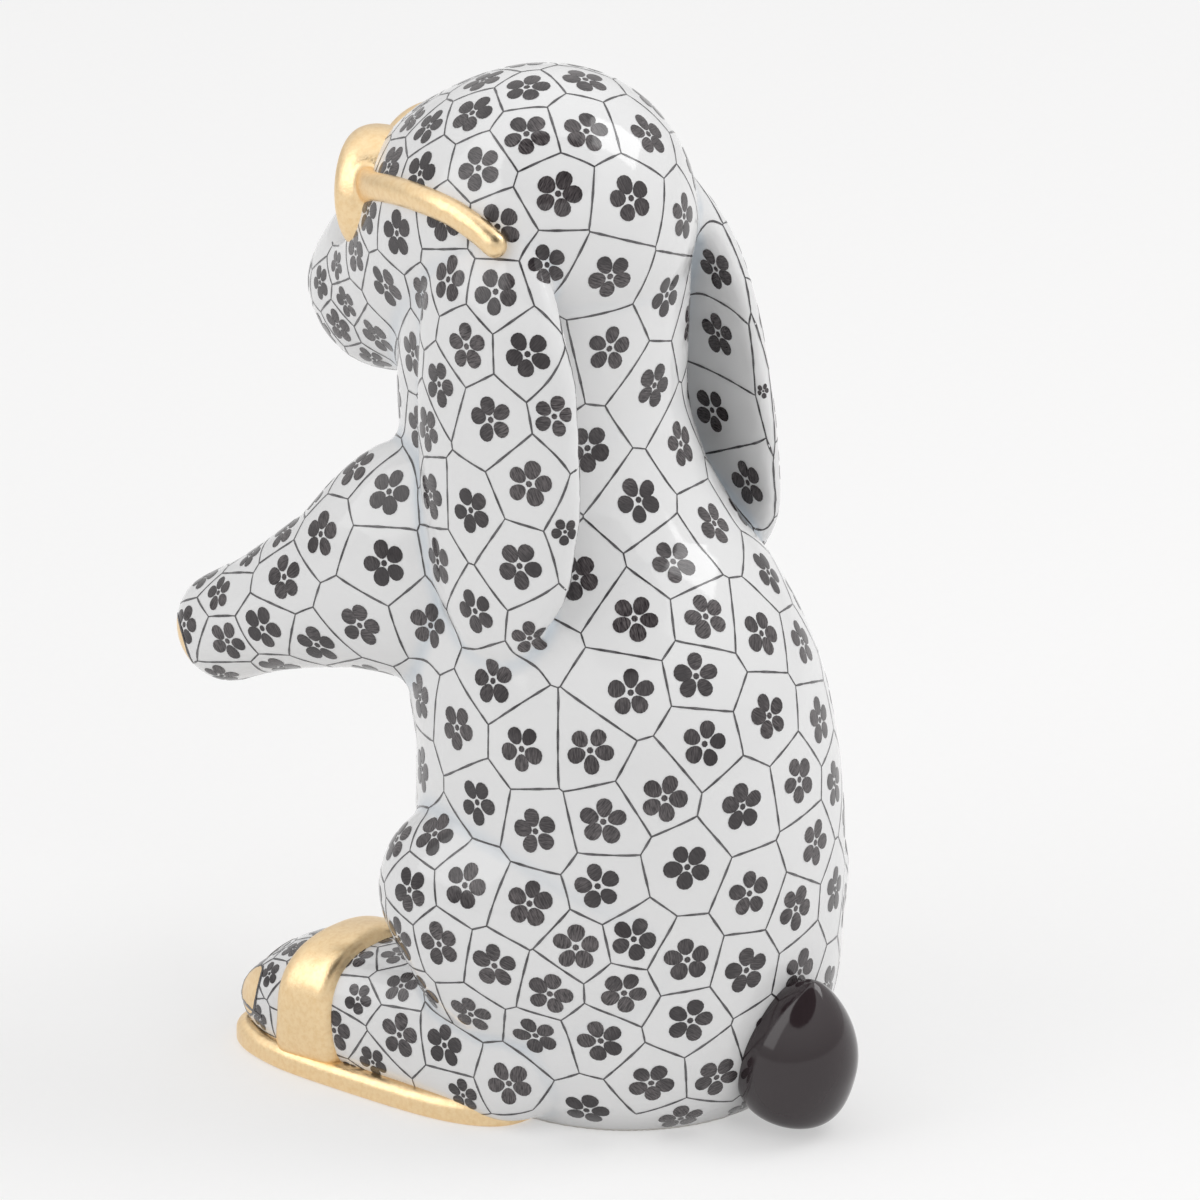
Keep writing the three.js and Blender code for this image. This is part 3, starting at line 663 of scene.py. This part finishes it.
# %% Sink the vent
vent_y, vent_radius, vent_well, vent_slope = -7.5, 5.0, 9.0, 8
out = np.hypot(skin[:, 0], skin[:, 1] - vent_y)
under = (skin[:, 2] < 0.05) & (out < vent_radius)
skin[under, 2] = np.minimum(vent_well, (vent_radius - out[under]) * vent_slope)
normals = point_normals(skin, quads)

# %% [markdown]
# ## Back to separate pieces
# The imported model has a solid for each casting, and each of them gets its own piece of skin. A quad
# belongs to the casting whose form is nearest to it. All pieces take their shading normals from the
# whole skin, so light runs over the joints without a step. "mesh_object" also hangs the piece on what it
# rides on, gives it its material and hides the solid that it stands in for.

# %% Cut the skin along the joints
def mesh_object(name, points, faces, material, slot, replaced=None, point_normal=None):
    mesh = bpy.data.meshes.new(name)
    mesh.from_pydata((np.asarray(points) * MM).tolist(), [], [tuple(int(i) for i in f) for f in faces])
    mesh.materials.append(material)
    mesh.shade_smooth()
    if point_normal is not None:
        mesh.normals_split_custom_set_from_vertices(np.asarray(point_normal).tolist())
    piece = bpy.data.objects.new(name, mesh)
    scene.collection.objects.link(piece)
    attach(piece, "root")
    if replaced:
        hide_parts(replaced)
    return piece


form_names = list(forms)
owner = maker_of(skin[quads].mean(axis=1))
for i, name in enumerate(form_names):
    own = quads[owner == i]
    used, local = np.unique(own, return_inverse=True)
    piece = mesh_object(name + "_skin", skin[used], local.reshape(-1, 4), porcelain, "porcelain", name,
                        normals[used])
    # The crease value drives the darker blue-grey in creases: thicker glaze and painted shade together.
    pool_and_shade_layer = piece.data.attributes.new("glaze_pool_and_shade", "FLOAT", "POINT")
    pool_and_shade_layer.data.foreach_set("value", crease[used, 0].astype(np.float32))
    print(piece.name, len(own), "quads")

# %% [markdown]
# ## The painted net
# In cracked ice, an old porcelain pattern, thin lines break the white into irregular meshes, like a
# frozen pond, with one plum blossom on each. Meshes are smaller where the form is small. Here seeds are
# scattered on the skin and moved to the middle of their meshes a few times, which evens them out. Each
# point of the skin belongs to its nearest seed, and lines run where two seeds are equally near. The
# direction that the skin faces counts as distance too, so no mesh reaches through an ear.

# %% Spread the meshes
form_of_point = np.zeros(len(skin), int)
form_of_point[quads.ravel()] = np.repeat(owner, 4)
quad_area = lengths(quad_normals(skin, quads) / 2)
point_area = np.bincount(quads.ravel(), np.repeat(quad_area / 4, 4), len(skin))

# Area of a mesh in square mm behind and in front, and how far forward in mm each of the two holds
mesh_sizes = {"head": (50, 22, 12, 30), "ear": (44, 44, 0, 1), "arm": (50, 28, 18, 40),
              "haunch": (50, 50, 0, 1), "foot": (34, 20, 5, 30)}
torso_mesh = 60.0
mesh_area = np.full(len(skin), torso_mesh)
for name, (behind, before, low, high) in mesh_sizes.items():
    own = np.isin(form_of_point, [i for i, n in enumerate(form_names) if n.startswith(name)])
    mesh_area[own] = behind + (before - behind) * smoothstep(-skin[own, 1], low, high)

front_line = skin[(np.abs(skin[:, 0]) < 0.5) & (skin[:, 2] > 70) & (skin[:, 2] < 90)]
muzzle_tip = front_line[front_line[:, 1].argmin()] * np.array([0, 1, 1])
print("Muzzle tip in mm:", muzzle_tip.round(1))

facing_weight, sample_size, evening_rounds, chunk = 7, 24000, 9, 8000
rng = np.random.default_rng(7)
chance = point_area / mesh_area
mesh_count = int(round(float(chance.sum())))
features = np.hstack([skin, facing_weight * normals])
seeds = features[rng.choice(len(skin), mesh_count, replace=False, p=chance / chance.sum())]


def nearest_seed(at):
    return np.concatenate([((seeds ** 2).sum(1) - 2 * at[i:i + chunk] @ seeds.T).argmin(1)
                           for i in range(0, len(at), chunk)])


sample = rng.choice(len(skin), sample_size, replace=False)
weight = (point_area / mesh_area ** 2)[sample]
for _ in range(evening_rounds):
    label = nearest_seed(features[sample])
    total = np.bincount(label, weight, mesh_count)
    moved = np.stack([np.bincount(label, weight * features[sample, k], mesh_count) for k in range(6)], 1)
    kept = total > 0
    seeds[kept] = moved[kept] / total[kept, None]
label = nearest_seed(features)
print("Meshes of the net:", mesh_count)

# %% Trace the lines between meshes
triangles = np.concatenate([quads[:, [0, 1, 2]], quads[:, [0, 2, 3]]])
triangles = triangles[(label[triangles] != label[triangles[:, :1]]).any(axis=1)]
sides = np.sort(triangles[:, [[0, 1], [1, 2], [2, 0]]], axis=2)
cut = label[sides[..., 0]] != label[sides[..., 1]]
ends, number = np.unique(sides[cut], axis=0, return_inverse=True)
first_seed, second_seed = seeds[label[ends[:, 0]]], seeds[label[ends[:, 1]]]
lead = [((features[ends[:, k]] - first_seed) ** 2).sum(1) - ((features[ends[:, k]] - second_seed) ** 2).sum(1)
        for k in (0, 1)]
way = (lead[0] / (lead[0] - lead[1])).clip(0, 1)[:, None]
crossings = skin[ends[:, 0]] * (1 - way) + skin[ends[:, 1]] * way
spot_of = np.full(cut.shape, -1)
spot_of[cut] = number.ravel()
threes = spot_of[cut.all(axis=1)]
spots = np.concatenate([crossings, crossings[threes].mean(axis=1)])
pairs = spot_of[cut.sum(axis=1) == 2]
pairs = pairs[pairs >= 0].reshape(-1, 2).tolist()
pairs += [(len(crossings) + i, c) for i, three in enumerate(threes.tolist()) for c in three]
links = {}
for one, other in pairs:
    links.setdefault(one, []).append(other)
    links.setdefault(other, []).append(one)

paths, walked = [], set()
for start_at in [s for s in links if len(links[s]) != 2]:
    for step in links[start_at]:
        if (start_at, step) in walked:
            continue
        path = [start_at, step]
        while len(links[path[-1]]) == 2:
            ahead = [s for s in links[path[-1]] if s != path[-2]]
            path.append(ahead[0] if ahead else path[-2])
        walked.update([(path[0], path[1]), (path[-1], path[-2])])
        paths.append(spots[path])
print("Lines of the net:", len(paths))

# %% [markdown]
# ## Paint on the skin
# Paint is far thinner than any modelled step, but it has to be a surface of its own to get its own
# material. So each line is a narrow ribbon and each petal a small patch, laid a few hundredths of a
# millimetre above the skin with the skin's own shading normals. "settle" finds the place on the skin
# under a point, and "Paint" gathers ribbons and patches and makes one mesh from them for each casting.

# %% Helpers for painting
skin_tree = BVHTree.FromPolygons(skin.tolist(), quads.tolist())


def settle(at):
    found = [skin_tree.find_nearest(p) for p in np.asarray(at).tolist()]
    spot = np.array([f[0] for f in found])
    face = np.array([f[2] for f in found])
    near = 1 / (lengths(skin[quads[face]] - spot[:, None]) ** 2 + 1e-4)
    return spot, unit((normals[quads[face]] * near[..., None]).sum(1)), owner[face]


class Paint:
    def __init__(self, name, material, slot, lift):
        self.name, self.material, self.slot, self.lift = name, material, slot, lift
        self.flat, self.maps, self.faces, self.first, self.count = [], [], [], [], 0

    def add(self, points, maps, faces):
        self.flat.append(np.asarray(points))
        self.maps.append(np.asarray(maps))
        self.faces += [tuple(i + self.count for i in face) for face in faces]
        self.first += [self.count] * len(faces)
        self.count += len(points)

    def line(self, path, half, step=0.5, straight=0.0, taper=0.35):
        run = np.concatenate([[0], np.cumsum(lengths(np.diff(path, axis=0)))])
        count = max(3, int(run[-1] / step) + 1)
        at = np.linspace(0, run[-1], count)
        smooth = np.stack([np.interp(at, run, path[:, k]) for k in range(3)], 1)
        for _ in range(3):
            smooth[1:-1] = (smooth[:-2] + smooth[2:] + 2 * smooth[1:-1]) / 4
        chord = path[0] + (path[-1] - path[0]) * (at / run[-1])[:, None]
        spot, normal, _ = settle(smooth * (1 - straight) + chord * straight)
        side = unit(np.cross(unit(np.gradient(spot, axis=0)), normal))
        phase = rng.uniform(0, 6.28, 2)
        press = 1 + 0.22 * np.sin(at * 1.7 + phase[0]) + 0.12 * np.sin(at * 4.1 + phase[1])
        ends = np.minimum(at, run[-1] - at)
        wide = (half * press * (1 - taper * np.clip(1 - ends / 0.8, 0, 1)))[:, None]
        points = np.concatenate([spot + side * wide, spot - side * wide])
        maps = np.column_stack([np.tile(at, 2) + 10 * phase[0], np.repeat([0.0, 1.0], count)])
        self.add(points, maps, grid_faces(2, count, closed=False))

    def patch(self, centre, normal, toward, outline, middle=(0, 0), rings=2, grain=(0, 0)):
        across = unit(toward - np.dot(toward, normal) * normal)
        other = np.cross(normal, across)
        around = len(outline)
        flat = [np.array(middle)] + [middle + (outline - middle) * (k + 1) / rings for k in range(rings)]
        flat = np.concatenate([np.atleast_2d(f) for f in flat])
        faces = [(0, 1 + j, 1 + (j + 1) % around) for j in range(around)]
        faces += [(a + 1, d + 1, c + 1, b + 1) for a, b, c, d in grid_faces(rings, around)]
        self.add(centre + flat[:, :1] * across + flat[:, 1:] * other, flat + np.array(grain), faces)

    def finish(self):
        points, maps = np.concatenate(self.flat), np.concatenate(self.maps)
        spot, normal, form = settle(points)
        spot = spot + normal * self.lift
        home = form[self.first]
        for i in np.unique(home):
            own = [self.faces[k] for k in np.flatnonzero(home == i)]
            used = sorted({c for face in own for c in face})
            number = {c: n for n, c in enumerate(used)}
            name = form_names[i] + "_" + self.name
            piece = mesh_object(name, spot[used], [tuple(number[c] for c in face) for face in own],
                                self.material, self.slot, point_normal=normal[used])
            layer = piece.data.uv_layers.new(name="stroke")
            corner = np.array([c for face in own for c in face])
            layer.data.foreach_set("uv", maps[corner].astype(np.float32).ravel())
        print(self.name, "strokes:", len(self.flat), "castings:", len(np.unique(home)))


# %% Paint the net
line_half, shortest_line, line_lowest = 0.11, 0.05, 0.5
net = Paint("net_lines", line_paint, "porcelain", 0.03)
for path in paths:
    path = path[~behind_glass(path, -0.4)]
    length = lengths(np.diff(path, axis=0)).sum()
    if len(path) > 1 and path[:, 2].min() > line_lowest and length > shortest_line:
        net.line(path, line_half, straight=0.4)
net.finish()

# %% [markdown]
# ## Plum blossoms
# Each piece of ice carries one blossom of five round petals, each laid down with one press of a full
# brush, and a small dot for its heart. Blossoms are as large as their mesh allows, and each is turned
# and pulled a little out of true, because they are painted by hand.

# %% Paint the blossoms
blossoms = Paint("blossoms", charcoal, "porcelain", 0.04)
round_petal = full_turn(14)
smallest, largest, mesh_share, clear_of_nose = 0.8, 2.45, 0.86, 3.4
for mesh_number in range(mesh_count):
    own = np.flatnonzero(label == mesh_number)
    edge = crossings[(label[ends] == mesh_number).any(axis=1)]
    if not len(own) or not len(edge):
        continue
    reach_of = np.sort(lengths(skin[own][:, None] - edge[None, ::3]), axis=1)[:, :3].mean(1)
    heart = own[int(np.argmax(reach_of))]
    centre, normal = skin[heart], normals[heart]
    size = min(mesh_share * reach_of.max(), largest)
    near_nose = np.linalg.norm(centre - muzzle_tip - np.array([0, 0, 2])) < clear_of_nose
    if size < smallest or centre[2] < 1.2 or near_nose or behind_glass(centre[None], 1.5)[0]:
        continue
    toward = unit(np.cross(normal, rng.normal(size=3)))
    other = np.cross(normal, toward)
    star = [math.cos(a) * toward + math.sin(a) * other for a in np.radians(np.arange(0, 360, 36))]
    for _ in range(5):
        spot, tipped, _ = settle(centre + size * np.array(star))
        if (tipped @ normal).min() > 0.35 and lengths(spot - centre).min() > 0.8 * size:
            break
        size *= 0.85
    if size < smallest:
        continue
    for petal in range(5):
        turn_by = math.radians(72 * petal + rng.uniform(-5, 5))
        long, wide, away = size * rng.uniform([0.36, 0.31, 0.57], [0.42, 0.37, 0.61])
        x = away + long * np.cos(round_petal)
        y = wide * np.sin(round_petal) * (1 + 0.16 * np.cos(round_petal))
        spin_round = turn_z(-turn_by)[:2, :2]
        outline = np.column_stack([x, y]) @ spin_round
        blossoms.patch(centre, normal, toward, outline, np.array([away, 0]) @ spin_round,
                       grain=rng.uniform(0, 50, 2))
    dot = 0.14 * size * np.column_stack([np.cos(round_petal[::2]), np.sin(round_petal[::2])])
    blossoms.patch(centre, normal, toward, dot, rings=1, grain=rng.uniform(0, 50, 2))
blossoms.finish()

# %% [markdown]
# ## Gilded nails and paw ends
# The last painting is gold: one oval on the end of each paw and three nails on each foot. A thin dark
# line goes round each of them first, so the gold has a clean edge, and another runs along the toe where
# the foot meets its sole. The nose and mouth on the front are painted with the same dark brush.

# %% Gild the ovals and draw the dark lines
gilt = Paint("gilding_ovals", gold, "gilding", 0.07)
dark = Paint("dark_lines", charcoal, "porcelain", 0.085)
round_oval = full_turn(32)


def oval_patch(paint, centre, along, half_long, half_wide, egg=0.0):
    spot, normal, _ = settle([centre])
    flat = np.column_stack([half_long * np.cos(round_oval),
                            half_wide * np.sin(round_oval) * (1 + egg * np.cos(round_oval))])
    flat *= (1 + 0.025 * np.sin(3 * round_oval + rng.uniform(0, 6)))[:, None]
    paint.patch(spot[0], normal[0], np.array(along, float), flat, rings=5, grain=rng.uniform(0, 50, 2))
    across = unit(np.array(along, float) - np.dot(along, normal[0]) * normal[0])
    ring = spot[0] + 1.05 * (flat[:, :1] * across + flat[:, 1:] * np.cross(normal[0], across))
    return np.concatenate([ring, ring[:2]])


paw_end, paw_oval = np.array([20.0, -44.5, 39.6]), (2.8, 2.5)
nail_half_long = 3.3
nails = [(20.5, -30.4, 6.6, 2.1), (9.5, -30.4, 6.6, 2.0), (15, -33, 8.6, 1.9)]
ring_half, toe_half, mouth_half = 0.15, 0.2, 0.14
toe_middle, toe_wide, toe_long, toe_level = -27, 7.5, 8, 4.5
toe_turn = np.radians(np.linspace(-125, -8, 30))
toe = np.column_stack([foot_x + toe_wide * np.cos(toe_turn), toe_middle + toe_long * np.sin(toe_turn),
                       np.full(30, toe_level)])
for mirror in (np.array([1, 1, 1]), np.array([-1, 1, 1])):
    rings = [oval_patch(gilt, paw_end * mirror, [0, -0.3, 1], *paw_oval)]
    for x, y, z, half_wide in nails:
        nail = np.array([x, y, z]) * mirror
        rings.append(oval_patch(gilt, nail, [0, -0.45, -1], nail_half_long, half_wide, 0.15))
    for ring in rings:
        dark.line(ring, ring_half, taper=0)
    dark.line(toe * mirror, toe_half)

oval_patch(dark, muzzle_tip + np.array([0, 0, 2.2]), [0, 0, -1], 1.5, 2.0, -0.35)
down = np.linspace(0, 1, 12)
dark.line(muzzle_tip + np.array([0, 0, 1.1]) + down[:, None] * np.array([0, 0, -2.6]), mouth_half)
for side in (1, -1):
    bow = np.column_stack([side * 3.0 * down, 0 * down, -1.5 - 1.3 * np.sin(down * 2.6)])
    dark.line(muzzle_tip + bow, mouth_half)
gilt.finish()
dark.finish()

# %% [markdown]
# ## Tail
# A round tuft, thrown as one ball and drawn up to a point beside the rump. That is a turned shape, so
# half its outline is spun round an axis. The outline is an arc for the ball and a curve that runs from
# it up to the point. It was set down while soft, so its lowest part is pressed flat.

# %% Spin the tail
def spin(profile, steps=96):
    angle = full_turn(steps)
    points = np.concatenate([np.column_stack([r * np.cos(angle), np.full(steps, h), r * np.sin(angle)])
                             for r, h in np.array(profile, float)])
    return points, [(a, d, c, b) for a, b, c, d in grid_faces(len(profile), steps)]


def bend(controls, share):
    points = [np.array(c, float) for c in controls]
    while len(points) > 1:
        points = [a + share * (b - a) for a, b in zip(points, points[1:])]
    return tuple(points[0])


tail_radius, tail_top, tail_height, tail_lean = 6.1, 8.4, 14.1, math.radians(75)
tail_place = np.array([0, 24.32, 8.2])
tail_stretch, tail_drop, tail_floor = 1.08, 1.1, 1.0
bottom = tail_top - tail_height
lower = [(0.45 * tail_radius, bottom), (tail_radius, bottom), (tail_radius, 0)]
upper = [(tail_radius, 0), (tail_radius, 0.5 * tail_top), (0.3 * tail_radius, 0.97 * tail_top), (0, tail_top)]
tail_profile = [(0, bottom), (0.2 * tail_radius, bottom)]
tail_profile += [bend(lower, s) for s in np.linspace(0, 1, 30)]
tail_profile += [bend(upper, s) for s in np.linspace(0, 1, 40)[1:]]
tail_points, tail_faces = spin([(max(r, 0.01), h) for r, h in tail_profile])
tail_points = tail_points @ turn_x(tail_lean).T + tail_place
tail_points[:, 2] = np.maximum(tail_stretch * tail_points[:, 2] - tail_drop, tail_floor)
mesh_object("tail_glaze", tail_points, tail_faces, black_glaze, "black_glaze", "tail")
print("Tail reaches back to", round(float(tail_points[:, 1].max()), 1), "mm")

# %% [markdown]
# ## Sandals
# On the real figure the sandals are raised a little from the clay and gilded, sole and strap alike. The
# sole is a flat slab with a blunt oval outline and rounded edges: rings that follow the outline, drawn
# in by a quarter circle at the top and bottom edge. The strap lies on the instep, so its points start
# on the foot's own outline and stand off from it by a thickness that fades to nothing at both edges.

# %% Make the soles
def place_pair(name, node, shape, material, slot):
    for side, own_shape in (("left", shape), ("right", mirror_x(*shape))):
        mesh_object(name + "_" + side, *own_shape, material, slot, node + "_" + side)


def rounded_edge(radius, angles):
    return [(radius * (1 - math.sin(a)), radius * (1 - math.cos(a))) for a in angles]


sole_heel, sole_toe, sole_thick, sole_margin, sole_edge, sole_blunt = 3.0, -34.4, 2.5, 0.9, 1.1, 0.6
sole_middle, sole_half = (sole_heel + sole_toe) / 2, (sole_heel - sole_toe) / 2
foot_line, foot_halves = line_and_halves(foot_rows)
around = full_turn(160)
outline_y = sole_middle + sole_half * blunt(np.sin(around), sole_blunt)
foot_half_width = np.interp(-outline_y, -foot_line[:, 1], foot_halves[:, 0])
outline_x = (foot_half_width + sole_margin) * blunt(np.cos(around), sole_blunt)
outline_xy = np.column_stack([outline_x, outline_y])
for _ in range(3):
    outline_xy = (np.roll(outline_xy, 1, 0) + 2 * outline_xy + np.roll(outline_xy, -1, 0)) / 4
ahead = np.roll(outline_xy, -1, 0) - np.roll(outline_xy, 1, 0)
outward = np.column_stack([ahead[:, 1], -ahead[:, 0]]) / lengths(ahead)[:, None]
rings = rounded_edge(0.5 * sole_edge, np.linspace(0, math.pi / 2, 7))
rings += [(inset, sole_thick - z) for inset, z in rounded_edge(sole_edge, np.linspace(math.pi / 2, 0, 10))]
rows = [np.column_stack([outline_xy - outward * inset, np.full(len(around), z)]) for inset, z in rings]
level_only = np.array([1, 1, 0])
for share in (0.6, 0.2):
    inward = np.array([0, sole_middle, 0]) - rows[-1] * level_only
    rows.append(rows[-1] + inward * (1 - share) * level_only)
sole_points = np.concatenate(rows) + np.array([foot_x, 0, 0])
sole_faces = grid_faces(len(rows), len(around)) + cap_faces(len(rows), len(around))
place_pair("sandal_sole_gold", "sandal_sole", (sole_points, sole_faces), gold, "gilding")

# %% Make the straps
strap_middle, strap_width, strap_thick, strap_sink, strap_lowest = -21.6, 7.0, 1.25, 0.12, 2.0
flare_wide, flare_foot, flare_height = 0.6, 2.8, 5
grid_reach, grid_steps = 7, 57


def foot_ring(y, angle):
    low, high = 0.0, 1.0
    for _ in range(40):
        t = (low + high) / 2
        if curve_at(foot_line, t)[1] > y:
            low = t
        else:
            high = t
    a, b = curve_at(foot_halves, t)
    x, w = foot_outline(angle, a, b, t, 1)
    return np.column_stack([foot_x + x, np.full(len(angle), y), curve_at(foot_line, t)[2] + w])


over = np.linspace(math.radians(-42), math.radians(222), 110)
places = np.linspace(strap_middle - grid_reach, strap_middle + grid_reach, grid_steps)
foot_grid = np.array([foot_ring(y, over) for y in places])
rise = foot_grid[grid_steps // 2, :, 2] - flare_foot
flare = flare_wide * np.clip(1 - rise / flare_height, 0, 1) ** 2
column = np.arange(len(over))
rows = []
for s in np.linspace(-1, 1, 29):
    y = strap_middle + s * (strap_width / 2 + flare)
    spot = (y - places[0]) / (places[1] - places[0])
    low = np.floor(spot).astype(int)
    between = (spot - low)[:, None]
    ring = foot_grid[low, column] * (1 - between) + foot_grid[low + 1, column] * between
    run = np.gradient(ring, axis=0)
    away = unit(np.column_stack([run[:, 2], np.zeros(len(over)), -run[:, 0]]))
    rows.append(ring + away * (strap_thick * (1 - abs(s) ** 5) ** 0.6 - strap_sink))
strap_points = np.concatenate(rows)
strap_points[:, 2] = np.maximum(strap_points[:, 2], strap_lowest)
strap_faces = grid_faces(len(rows), len(over), closed=False)
place_pair("sandal_strap_gold", "sandal_strap", (strap_points, strap_faces), gold, "gilding")
print("Strap points:", len(strap_points), "top at", round(float(strap_points[:, 2].max()), 1), "mm")

# %% [markdown]
# ## Spectacles
# Two rims with rounded fronts that run into each other over the nose, dark bulging glasses in them, and
# a side arm on each side that lies on the head like a raised cord. Rims and glasses are turned shapes,
# made about their own middle and then dipped and turned on the face. The side arms are swept, and the
# far one stops a little sooner. Rims and arms are fused like the body, so that gold runs over the joint.

# %% Shape the rims and side arms
rim_inner, rim_back = rim_radius - rim_width, 5.0
rim_crest = rim_radius - 1.0
front = [(rim_crest + 1.35 * math.cos(a), 2.4 - 2.4 * math.sin(a)) for a in np.linspace(0, math.pi / 2, 12)]
front += [(rim_crest + 0.5 * math.cos(a), 0.6 - 0.6 * math.sin(a))
          for a in np.linspace(math.pi / 2, math.pi, 9)[1:]]
rim_profile = [(rim_radius, rim_back), (rim_radius + 0.3, 3.2)] + front
rim_profile += [(rim_inner, 3.0), (rim_inner, rim_back), (rim_radius, rim_back)]
rim_points, rim_faces = spin(rim_profile, 120)
rim = (from_glass(rim_points), rim_faces)
head_line, head_halves = line_and_halves(tube_sections(head_rows))


def head_side(y, z):
    target = np.array([0, y, z], float)
    steps = np.linspace(0, 1, 401)
    off = [abs((target - curve_at(head_line, t)).dot(tangent_at(head_line, t))) for t in steps]
    t = steps[int(np.argmin(off))]
    a, b = curve_at(head_halves, t)
    rise = min(0.95, np.linalg.norm(target - curve_at(head_line, t)) / b)
    return float(head_outline(np.array([math.asin(rise)]), a, b, t, 1)[0][0])


temple_start, temple_crest, temple_end = -26.6, -10.9, -1.6
temple_rise, front_drop, back_drop = 5.5, 3.7, 2.6
temple_half, temple_end_half, temple_thick = 1.5, 1.4, 1.2
web_half, web_length = 1.6, 0.2
temple_rows = []
for s in (0, 0.04, 0.08, 0.13, 0.19, 0.27, 0.37, 0.5, 0.63, 0.75, 0.88, 1):
    y = temple_start + s * (temple_end - temple_start)
    if y < temple_crest:
        span, drop = temple_crest - temple_start, front_drop
    else:
        span, drop = temple_end - temple_crest, back_drop
    z = glass_centre[2] + temple_rise - drop * ((y - temple_crest) / span) ** 2
    web = web_half * max(1 - s / web_length, 0) ** 2
    half = temple_half + s * (temple_end_half - temple_half) + web
    temple_rows.append((head_side(y, z), y, z, half, temple_thick))
temple_shape = dict(axis=(0, 0, 1), sides=48, end_round=0.04)
wires = {
    "spectacle_rims": join_forms([rim, mirror_x(*rim)]),
    "temple_left": sweep(temple_rows, rings=90, **temple_shape),
    "temple_right": mirror_x(*sweep(temple_rows[:-1], rings=80, **temple_shape)),
}

# %% Fuse the wires and cut them apart again
wire_step = 0.2
wire, wire_quads, wire_maker = fuse(wires, wire_step)
wire, _ = relax(wire, wire_quads, even=6, fillet=30, deep=0.008)
wire_normals = point_normals(wire, wire_quads)
wire_owner = wire_maker(wire[wire_quads].mean(axis=1))
for i, name in enumerate(wires):
    used, local = np.unique(wire_quads[wire_owner == i], return_inverse=True)
    mesh_object(name + "_gold", wire[used], local.reshape(-1, 4), gold, "gilding", name, wire_normals[used])
    print(name, local.size // 4, "quads")

# %% Spin the dark glasses
lens_radius, lens_inset, lens_rise = rim_inner + 0.1, 0.9, 0.7
lens_profile = [(max(s * lens_radius, 0.01), lens_inset - lens_rise * (1 - s * s))
                for s in np.linspace(1, 0, 16)]
lens_points, lens_faces = spin(lens_profile, 80)
place_pair("lens_glaze", "lens", (from_glass(lens_points), lens_faces), black_glaze, "black_glaze")
